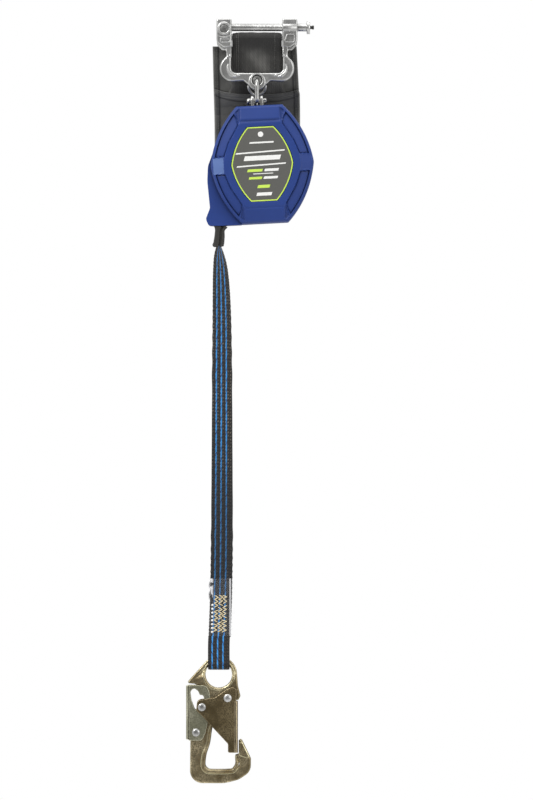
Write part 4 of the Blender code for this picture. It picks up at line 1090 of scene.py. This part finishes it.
def build_pin(plated, dark):
    """Turned pin with its flange, bored for the rod of the push button."""
    turning = [(-31.0, 0.01), (-31.0, 2.4), (-30.4, 3.3), (-29.6, 3.7), (-29.0, 3.75), (34.5, 3.75),
               (35.2, 4.0), (49.3, 4.0), (49.6, 4.4), (49.8, 6.2), (50.2, 6.6), (52.4, 6.6), (52.9, 6.3), (53.0, 5.6),
               (52.4, 4.6), (52.2, 2.3), (40.0, 2.25), (15.5, 2.25), (15.5, 0.01)]
    rod = [(22.0, 0.01), (22.0, 1.9), (52.0, 1.9), (53.4, 1.9), (53.9, 1.5), (54.6, 1.5), (55.0, 2.0),
           (56.6, 2.0), (57.0, 1.7), (57.0, 0.01)]
    pin = revolved(turning, 0.0, 0.0, "X", 64)
    piece("pin_turning", pin, plated, "lock_pin", "plated_steel", "locking_pin")
    piece("button_rod", revolved(rod, 0.0, 0.0, "X", 40), dark, "button", "dark_button", "pin_button")


RING_BEND = 8.3
RING_WIRE = 2.2
BOLT_RADIUS = 2.4
BOLT_PLAY = 0.35


def build_link(plated, recess_shade_steel):
    """The chain link seen edge-on, and the ball of the swivel in its top."""
    low = HANGER[1] - BOLT_RADIUS - BOLT_PLAY - RING_WIRE
    top = circle(0.0, LINK_TOP[1] - RING_BEND, RING_BEND, 24, 0.0, 180.0)
    base = circle(0.0, low + RING_BEND, RING_BEND, 24, 180.0, 180.0)
    ring = tube([(0.0, y, z) for y, z in resample(top + base, 96)], RING_WIRE, 20, closed=True)
    half = [(-4.2, 0.01), (-4.1, 3.5), (-3.6, 4.5), (-2.2, 4.9)]
    ball = revolved(half + mirrored(half[::-1], -1), 0.0, LINK_TOP[1] - 1.0, steps=40)
    # the ball in the eye takes the darker steel: painted shade in the hole
    piece("swivel_ball", ball, recess_shade_steel, "link", "plated_steel")
    piece("swivel_ring", ring, plated, "link", "plated_steel", "swivel_link")


def build_keeper(wire):
    """Wire that loops round the back of the boss, bright steel painted brighter still as a painted highlight."""
    route = []
    for t in np.linspace(math.pi, 2 * math.pi, 49):
        depth = 12.0 - 5.9 * abs(math.cos(t)) ** 6
        route.append((8.6 * math.cos(t), depth, -57.6 + 9.0 * math.sin(t)))
    piece("keeper_loop", tube(route, 1.3, 14), wire, "connector", "plated_steel", "keeper_wire")


def build_clevis(plated):
    turned = Matrix.Translation((HANG_U * MM, 0.0, 0.0)) @ Matrix.Rotation(math.pi / 2, 4, "Z")
    ear = circle(0.0, HANG_V, 6.0, 24, 0.0, 180.0) + [(-6.0, 44.5), (6.0, 44.5)]
    bore = circle(0.0, HANG_V, 2.7, 24)
    cheeks = [plate([ear, bore], middle - 1.5, middle + 1.5, 0.5) for middle in (-4.5, 4.5)]
    nut = plate([circle(0.0, HANG_V, 4.0, 6), circle(0.0, HANG_V, 2.6, 24)], 6.3, 9.0, 0.4)
    for mesh in [*cheeks, nut]:
        mesh.transform(turned)
    left, right = HANG_U - 10.0, HANG_U + 10.0
    foot = rounded([(left, 43.6, 1.0), (right, 43.6, 1.0), (right, 53.0, 1.0), (left, 53.0, 1.0)])
    bracket = merged([*cheeks, plate([foot], -17.9, 13.7, 0.6)])
    profile = [(-10.3, 0.01), (-10.3, 2.4), (-9.8, 3.2), (-9.2, 3.6), (-6.6, 3.6), (-6.3, 3.3),
               (-6.3, BOLT_RADIUS), (9.0, BOLT_RADIUS), (9.4, 2.0), (9.4, 0.01)]
    bolt = revolved([(HANG_U + a, r) for a, r in profile], 0.0, HANG_V, "X", 32)
    for name, mesh, node in (("clevis_bracket", bracket, "clevis"), ("hanger_bolt", bolt, "hang_bolt"),
                             ("hanger_nut", nut, "hang_nut")):
        piece(name, mesh, plated, "device", "plated_steel", node, place=CASING)


# ---------------------------------------------------------------- strap and pouch

# Side view of the strap, as (y, z): up the front, over the bar and down the back.
STRAP_FRONT = [(36.4, -86.0), (30.4, -77.4), (20.8, -65.9), (14.1, -51.6), (11.6, -44.0), (4.2, -27.0)]
STRAP_BACK = [(8.0, -27.0), (13.2, -42.0), (16.4, -50.9), (22.9, -66.6), (32.5, -77.6), (38.6, -85.4)]
STRAP_HALF_WIDTH = 24.8
STRAP_SEAMS = (-18.6, 17.9, -20.4)


def build_strap():
    over = circle(*STRAP_BAR, 4.3, 14, 200.0, -180.0)
    path = spline_path(STRAP_FRONT + over + STRAP_BACK, 8)
    run = run_length(path)
    ahead = unit(np.gradient(path, axis=0))
    normal = np.stack([-ahead[:, 1], ahead[:, 0]], axis=1)
    across = np.concatenate([np.linspace(-1, 1, 41), np.linspace(1, -1, 41)[1:-1]])
    side = np.concatenate([np.ones(41), -np.ones(39)])
    edge = np.sqrt(np.clip(1 - ((np.abs(across) - 0.965) / 0.035).clip(0, 1) ** 2, 0, 1))
    flare = 1.0 + 0.2 * ease(-path[:, 1], 54.0, 68.0)
    x = across * column(STRAP_HALF_WIDTH * flare)
    down = column(run)
    ripple = 0.12 * np.sin(x * 0.5 + down * 0.11) + 0.1 * np.sin(down * 0.37 + x * 0.19)
    seam = 0.28 * hump(np.abs(x) - 18.6, 0.7)
    thick = 0.9 * edge * side + (ripple - seam * side) * edge
    crown = ease(np.abs(x), 14.0, 25.0) * 0.7 * ease(path[:, 1:], -20.0, -6.0)
    y = path[:, :1] + normal[:, :1] * thick
    z = path[:, 1:] + normal[:, 1:] * thick - crown
    grid = np.stack([x, y, z], axis=-1)
    uv = np.stack(np.broadcast_arrays(np.hstack([x, x[:, :1]]), down), axis=-1)
    mesh = lattice(grid, wrap=True, uv=uv, caps=True)
    piece("strap_loop", mesh, strap_finish(), "pack", "strap", "connector_strap")
    sewn = (run > 42.0) & (path[:, 1] > -50.0) & (run < run[-1] * 0.52)
    lying = path[sewn] + normal[sewn] * 0.8
    rows = [stitch_line([(place, *p) for p in lying], 2.4, 1.6, 0.3) for place in STRAP_SEAMS]
    piece("strap_stitching", merged(rows), thread_finish(), "pack", "strap")


# Heights down the pouch, and its edges and depths there.
POUCH_TOP, POUCH_BASE = -18.2, -168.0
POUCH_LEVELS = (-19.5, -62.0, -65.0, -78.0, -86.0, -100.0, -160.0, -168.0)
POUCH_LEFT = (-44.5, -43.6, -43.5, -43.2, -43.0, -42.8, -42.5, -40.0)
POUCH_RIGHT = (39.8, 42.2, 43.0, 43.3, 43.4, 43.4, 43.4, 41.0)
POUCH_BACK = (13.0, 26.5, 30.0, 41.0, 46.5, 49.3, 49.3, 45.0)
PANEL_LEVELS = (-19.5, -62.0, -72.0)
PANEL_FRONT = (9.5, 22.3, 25.6)
POCKET_LEVELS = (-58.0, -65.0, -72.0, -78.0, -86.0, -100.0, -160.0, -168.0)
POCKET_FRONT = (15.6, 17.8, 24.0, 29.6, 32.6, 32.0, 31.4, 33.0)
HEM_SEAMS = (1.7, 4.6)
EDGE_SEAMS = (4.2, 2.0)
BINDING = 5.7


def along(z, levels, values):
    return np.interp(-np.asarray(z), [-level for level in levels], values)


def hem_bow(x, power):
    return 1 - np.clip(np.abs(x) / 43.0, 0, 1) ** power


def hem_height(x):
    return -60.2 - 5.0 * hem_bow(x, 3.4)


def hem_band(x):
    """Height of the hem's doubled band."""
    return 5.2 + 1.8 * hem_bow(x, 2)


def pouch_front(x, z):
    """Depth of the pouch's front face: a flat panel, and below the hem a pocket in front of it."""
    drop = hem_height(x) - z
    panel, pocket = along(z, PANEL_LEVELS, PANEL_FRONT), along(z, POCKET_LEVELS, POCKET_FRONT)
    pocket = np.where(z > PANEL_LEVELS[-1], np.minimum(pocket, panel - 1.2), pocket)
    y = panel + (pocket - panel) * ease(drop, -0.3, 0.9)
    for seam in HEM_SEAMS:
        y = y + 0.45 * hump(drop - seam, 0.5)
    for side in (-1, 1):
        fold = (x - side * STRAP_HALF_WIDTH) * 0.894 + side * (z + 55.3) * -0.447
        y = y - 0.9 * hump(fold, 1.1) * ease(-drop, 0.0, 3.0) * ease(-50.0 - z, 0.0, 5.0)
    wide = hem_band(x)
    return y - 1.1 * ease(drop, 0.0, 0.4) * (1 - ease(drop, wide, wide + 0.6))


def pouch_shade(x, z, from_edge):
    """How deep the painted shade on the fabric is, from 0 to 1: along its seams and hem, and towards its top."""
    drop = hem_height(x) - z
    shade = 0.75 * hump(from_edge - BINDING, 0.7) + 0.35 * hump(from_edge - 3.0, 3.2)
    for line, width in ((-0.5, 0.6), (hem_band(x) + 0.9, 0.7)):
        shade = shade + 0.75 * hump(drop - line, width)
    # painted shade also deepens towards the top of the pouch
    return np.clip(shade + 0.35 * ease(z, -30.0, -19.0), 0, 0.9)


def pouch_mesh():
    """A filled bag with a bound edge, soft creases and rounded ends."""
    z = column(np.concatenate([
        np.linspace(POUCH_TOP, -19.3, 6), np.linspace(-19.8, -60.0, 60), np.linspace(-60.4, -80.0, 80),
        np.linspace(-80.8, -166.0, 100), np.linspace(-166.5, POUCH_BASE, 6),
    ]))
    left, right, back = (along(z, POUCH_LEVELS, edge) for edge in (POUCH_LEFT, POUCH_RIGHT, POUCH_BACK))
    share = np.concatenate([np.linspace(0, 1, 91), np.linspace(1, 0, 61)[1:-1]])
    is_front = np.arange(len(share)) < 91
    x = left + (right - left) * (share - 0.012 * np.sin(2 * math.pi * share))
    from_edge = np.minimum(x - left, right - x)
    wrinkle = 0.35 * np.sin(x * 0.21 + z * 0.13) * np.sin(z * 0.31 + 1.3)
    wrinkle = wrinkle + 0.2 * np.sin(x * 0.09 - z * 0.47 + 2.0)
    wrinkle = wrinkle * ease(from_edge, 0.5, 8.0) * np.where(is_front, 0.7, 0.8)
    bound = 0.75 * ease(from_edge, 5.6, 4.9) - 0.35 * hump(from_edge - EDGE_SEAMS[0], 0.35)
    front = pouch_front(x, z)
    middle = (front + back) / 2
    ends = np.minimum(quarter_round((POUCH_TOP - z) / 1.1), quarter_round((z - POUCH_BASE) / 6.0))
    depth = np.where(is_front, middle - front, back - middle)
    spread = (depth + bound + wrinkle) * quarter_round(from_edge / 1.8)
    y = middle + np.where(is_front, -1, 1) * spread * ends
    mesh = lattice(np.stack(np.broadcast_arrays(x, y, z), axis=-1), wrap=True, caps=True)
    # painted shade on the back: a little all over, more along the binding
    rear_shade = 0.15 + 0.6 * hump(from_edge - BINDING, 0.8)
    shade = np.where(is_front, pouch_shade(x, z, from_edge), rear_shade)
    layer = mesh.attributes.new("seam_shade", "FLOAT", "POINT")
    layer.data.foreach_set("value", shade.ravel().astype(np.float32))
    return mesh


def build_pouch(fabric):
    obj = piece("pouch_body", pouch_mesh(), fabric, "pack", "pouch", "absorber_pouch")
    levels = np.linspace(-21.5, -164.0, 300)
    rows = []
    for edge, sign in ((POUCH_LEFT, 1), (POUCH_RIGHT, -1)):
        for seam in EDGE_SEAMS:
            xs = along(levels, POUCH_LEVELS, edge) + sign * seam
            for ys in (pouch_front(xs, levels) - 0.55, along(levels, POUCH_LEVELS, POUCH_BACK) + 0.45):
                rows.append(stitch_line(np.stack([xs, ys, levels], 1), 2.5, 1.7, 0.3))
    xs = np.linspace(-37.5, 37.5, 160)
    for seam in HEM_SEAMS:
        level = hem_height(xs) - seam
        rows.append(stitch_line(np.stack([xs, pouch_front(xs, level) - 0.1, level], 1), 2.5, 1.8, 0.26))
    piece("pouch_stitching", merged(rows), thread_finish(), "pack", "pouch")


# ---------------------------------------------------------------- snap hook

HOOK_BACK = [(-30.2, -6.2), (-31.0, -7.4, 0.8), (-30.0, -8.6), (-24.5, -9.2), (-19.0, -11.2, 2.0),
             (-13.3, -16.0, 3.0), (-13.3, -38.5, 3.0), (-22.0, -43.0, 3.0), (-28.6, -51.0, 3.0),
             (-28.4, -67.0, 20.0), (-28.9, -108.4, 12.5), (6.0, -108.6, 30.0), (20.0, -105.0, 15.0),
             (32.0, -97.0, 12.0), (32.2, -84.0, 3.0)]
HOOK_NOSE = [(23.4, -65.6, 0.6), (22.0, -64.4, 0.6), (19.9, -66.0), (19.9, -79.2), (15.9, -80.4, 1.0)]
HOOK_BOWL = [(20.8, -88.8, 2.0), (19.0, -94.6, 5.0), (-13.2, -94.6, 6.0), (-13.4, -88.0, 6.0),
             (-12.1, -78.6, 15.0), (-8.6, -68.2, 15.0), (-6.4, -53.0, 10.0), (2.5, -36.0, 8.0)]
HOOK_SHOULDER = [(16.4, -25.2), (19.6, -25.6, 0.6), (21.7, -21.4, 0.8), (19.3, -12.0, 6.0)]
BOWL_BEAD = [(17.0, -81.5), (18.2, -88.6), (16.5, -93.4), (12.0, -96.6), (-8.0, -96.9), (-13.6, -95.0),
             (-15.6, -90.0), (-14.4, -79.0), (-11.0, -68.0), (-8.6, -54.0), (-4.5, -44.0)]
NOSE_FACE = [(20.6, -80.6, 0.5), (31.2, -84.2, 1.5), (23.0, -67.4, 0.8), (20.6, -68.0, 0.5)]
GATE = [(-22.6, -36.0, 4.5), (-21.6, -25.6, 4.5), (-3.8, -22.8, 6.0), (7.1, -14.9, 4.0), (14.2, -12.0, 1.0),
        (17.6, -14.6, 1.0), (17.6, -77.8, 0.3), (9.2, -77.8, 1.8), (9.2, -69.0, 3.0), (-19.0, -38.6, 3.0)]
LEVER = [(-31.2, -10.6, 0.8), (-13.0, -10.6, 4.0), (-9.6, -16.0, 4.0), (-8.4, -24.0, 8.0),
         (-9.4, -40.0, 10.0), (-13.1, -57.3, 8.0), (-16.4, -65.8, 5.0), (-29.4, -65.8, 1.0), (-31.0, -64.4, 1.0), (-31.2, -42.0)]
LEVER_SLOT = [(-28.4, -17.4, 2.5), (-25.4, -12.8, 3.0), (-20.6, -16.2, 3.0), (-18.9, -20.2, 1.0),
              (-15.6, -20.4, 2.0), (-14.0, -26.0, 2.0), (-14.0, -35.0, 1.5), (-23.8, -35.0, 1.5),
              (-27.4, -25.6, 10.0)]


def hook_beads(side):
    """The rounded beads along the bowl and round the eye of the forging, on one face."""
    path = spline_path(BOWL_BEAD, 8)
    radius = np.interp(np.linspace(0, 1, len(path)), [0, 0.1, 0.3, 0.85, 1], [0.8, 1.9, 2.4, 2.4, 1.0])
    crest = np.interp(path[:, 1], [-80.0, -73.0], [6.7, 5.75])
    bead = np.stack([path[:, 0], side * (crest - radius), path[:, 1]], axis=1)
    rim = circle(0.0, 0.0, 14.9, 72)
    eye = [(a, side * float(np.interp(b, [-3.0, 5.0], [4.5, 2.4])), b) for a, b in rim]
    return [tube(bead, radius, 16), tube(eye, 1.2, 14, closed=True)]


def build_hook(zinc):
    """Forging that thins to an eye at its top."""
    eye = circle(0.0, 0.0, 18.3, 28, 0.0, 137.0)
    lobe = circle(*GATE_PIVOT, 6.8, 8, -95.0, 75.0)
    outline = rounded(eye + HOOK_BACK + HOOK_NOSE + HOOK_BOWL + lobe + HOOK_SHOULDER)
    holes = [circle(0.0, 0.0, 13.2, 64), circle(*GATE_PIVOT, 2.6, 24), circle(*LEVER_PIVOT, 2.5, 24)]
    body = plate([outline, *holes], -5.5, 5.5, 1.5, 5)
    for vert in body.vertices:
        x, z = vert.co.x / MM, vert.co.z / MM
        if math.hypot(x, z) < 19.0:
            vert.co.y *= 1 - 0.47 * ease(z, -3.0, 5.0)
    nose = plate([rounded(NOSE_FACE)], -6.1, -5.0, 0.4)
    mesh = merged([body, *hook_beads(-1), *hook_beads(1), nose])
    piece("hook_forging", mesh, zinc, "hook", "zinc_body", "hook_body", place=AT_HOOK)


def rivet(base, place, rise=1.75, radius=4.2):
    """A rivet through the hook with a low dome on each side."""
    angles = np.linspace(0, math.pi / 2, 9)
    cap = [(base + rise * math.sin(t), max(radius * math.cos(t), 0.01)) for t in angles]
    profile = [*mirrored(cap[::-1], -1), (-base, 2.2), (base, 2.2), *cap]
    return revolved(profile, *place, steps=40)


def channel_wall(x_wall, x_in, z, half, thick):
    """The wall that joins a pressed channel's two cheeks, with bent corners."""
    sign = 1.0 if x_wall > x_in else -1.0
    bend = 2.0
    angles = np.linspace(0, math.pi / 2, 9)
    corner = [(x_wall - sign * bend * (1 - math.sin(t)), bend * (1 - math.cos(t)) - half) for t in angles]
    outer = [(x_in, -half), *corner]
    outer += [(x, -y) for x, y in reversed(outer)]
    inner = [(x - sign * thick * (abs(x - x_in) > 1e-6), y * (half - thick) / half) for x, y in outer]
    ring = np.array(outer + inner[::-1])
    middle = ring.mean(axis=0)
    rows = []
    for height, keep in ((z[0], 0.993), (z[0] - 0.4, 1.0), (z[1] + 0.4, 1.0), (z[1], 0.993)):
        part = middle + (ring - middle) * keep
        rows.append(np.stack([part[:, 0], part[:, 1], np.full(len(ring), height)], axis=1))
    return lattice(np.array(rows), wrap=True, caps=True, angle=40.0)


def pressing(outlines, half, thick, wall):
    """Two cheeks and the wall between them, pressed from one sheet."""
    cheeks = [plate(outlines, -half, thick - half, 0.45), plate(outlines, half - thick, half, 0.45)]
    return merged([*cheeks, wall])


def build_gate_and_lever(bronze, olive, plated):
    gate_outlines = [rounded(GATE), circle(*GATE_PIVOT, 2.6, 20), circle(*CATCH, 2.4, 20)]
    gate = pressing(gate_outlines, 9.4, 1.6, channel_wall(19.1, 15.8, (-26.8, -77.8), 9.4, 1.6))
    lever_outlines = [rounded(LEVER), rounded(LEVER_SLOT), circle(*LEVER_PIVOT, 2.5, 20)]
    lever = pressing(lever_outlines, 7.4, 1.5, channel_wall(-32.6, -29.4, (-11.2, -64.6), 7.4, 1.5))
    for name, mesh, finish, body, slot, node in (
        ("gate_pressing", gate, bronze, "gate", "zinc_gate", "gate"),
        ("catch_stud", rivet(9.6, CATCH), plated, "gate", "plated_steel", "catch_rivet"),
        ("gate_stud", rivet(9.6, GATE_PIVOT), plated, "hook", "plated_steel", "gate_rivet"),
        ("lever_pressing", lever, olive, "lever", "zinc_gate", "lever"),
        ("lever_stud", rivet(7.6, LEVER_PIVOT), plated, "hook", "plated_steel", "lever_rivet"),
    ):
        piece(name, mesh, finish, body, slot, node, place=AT_HOOK)


# ---------------------------------------------------------------- working parts inside


def finish_inside(nodes, plated, black):
    """Gives every CAD part that still shows its own finish."""
    spring = metal_finish("spring_steel", srgb(150, 150, 156), srgb(112, 112, 120), 0.32, 1400.0)
    bush = metal_finish("bronze_bush", srgb(176, 138, 84), srgb(140, 104, 58), 0.36, 1200.0)
    pressed = metal_finish("pressed_plate", srgb(172, 172, 170), srgb(140, 140, 138), 0.42, 1000.0)
    tan = weave_finish("tear_fold", srgb(120, 110, 86), srgb(170, 158, 128), 0.0014, 0.003)
    coil = weave_finish("coil_fabric", srgb(24, 24, 27), srgb(66, 66, 70), 0.0013, 0.0036)
    # The first word found in a node's name decides.
    by_word = {"spring_case": black, "nozzle_guide": black, "drum_hub": black, "tear_webbing": tan,
               "wound_webbing": coil, "spring": spring, "bush": bush, "screw": plated, "ball": plated,
               "axle": plated, "pin": plated, "strap_bar": plated}
    for name, node in nodes.items():
        if node.hide_render:
            continue
        finish = next((by_word[word] for word in by_word if word in name), pressed)
        node.data.materials.clear()
        node.data.materials.append(finish.mat)
        smooth(node.data, 35.0)


set_camera()
set_room()
set_lights()
set_floor()

cast = metal_finish("cast_steel", srgb(214, 214, 212), srgb(184, 184, 182), 0.3, pits=0.1)
plated = metal_finish("plated_steel", srgb(226, 226, 224), srgb(176, 176, 174), 0.26, 1500.0, 0.35)
# a darker copy of the steel for faces in recesses: painted shade
steel_in_shade = metal_finish("steel_painted_shade", srgb(158, 158, 156), srgb(120, 120, 118), 0.46)
# keeper wire near white: bright steel, with a painted highlight where it lies in the yoke's shadow
wire = metal_finish("keeper_steel_painted_bright", srgb(246, 246, 244), srgb(230, 230, 228), 0.5, grain_depth=0.1,
                    pits=0.04)
button_steel = metal_finish("dark_button", srgb(84, 84, 82), srgb(60, 60, 58), 0.4)
zinc = metal_finish("zinc_forging", srgb(214, 198, 160), srgb(116, 99, 66), 0.33, grain=850.0,
                    grain_depth=1.0, pits=0.5, edge=0.0012, shine=1.0, swell=3.0)
bronze = metal_finish("gate_plating", srgb(160, 144, 110), srgb(104, 90, 62), 0.36, grain=850.0,
                      grain_depth=1.0, pits=0.5, edge=0.0012, shine=1.0, swell=2.0)
olive = metal_finish("lever_plating", srgb(200, 197, 172), srgb(158, 157, 132), 0.36, grain=700.0,
                     grain_depth=0.9, pits=0.3, edge=0.0011, shine=0.9, swell=1.5)
blue = plastic_finish("blue_plastic", srgb(37, 61, 127))
# lighter grip plastic for the left band: real texture, with a painted highlight
lit_grip = plastic_finish("grip_band_lit_left", srgb(88, 112, 166), 0.6, 1500.0)
black = plastic_finish("black_plastic", srgb(34, 34, 36))

webbing = lifeline_finish()
line, centreline = build_lifeline(webbing)
build_feed(webbing)
bumper = build_sleeve()
splice = build_splice()
build_front_cover(blue, lit_grip)
build_rear_cover(blue)
build_label()
build_yoke(cast, steel_in_shade)
build_pin(plated, button_steel)
build_link(plated, steel_in_shade)
build_keeper(wire)
build_clevis(plated)
build_strap()
build_pouch(pouch_finish())
build_hook(zinc)
build_gate_and_lever(bronze, olive, plated)
finish_inside(frame["nodes"], plated, black)
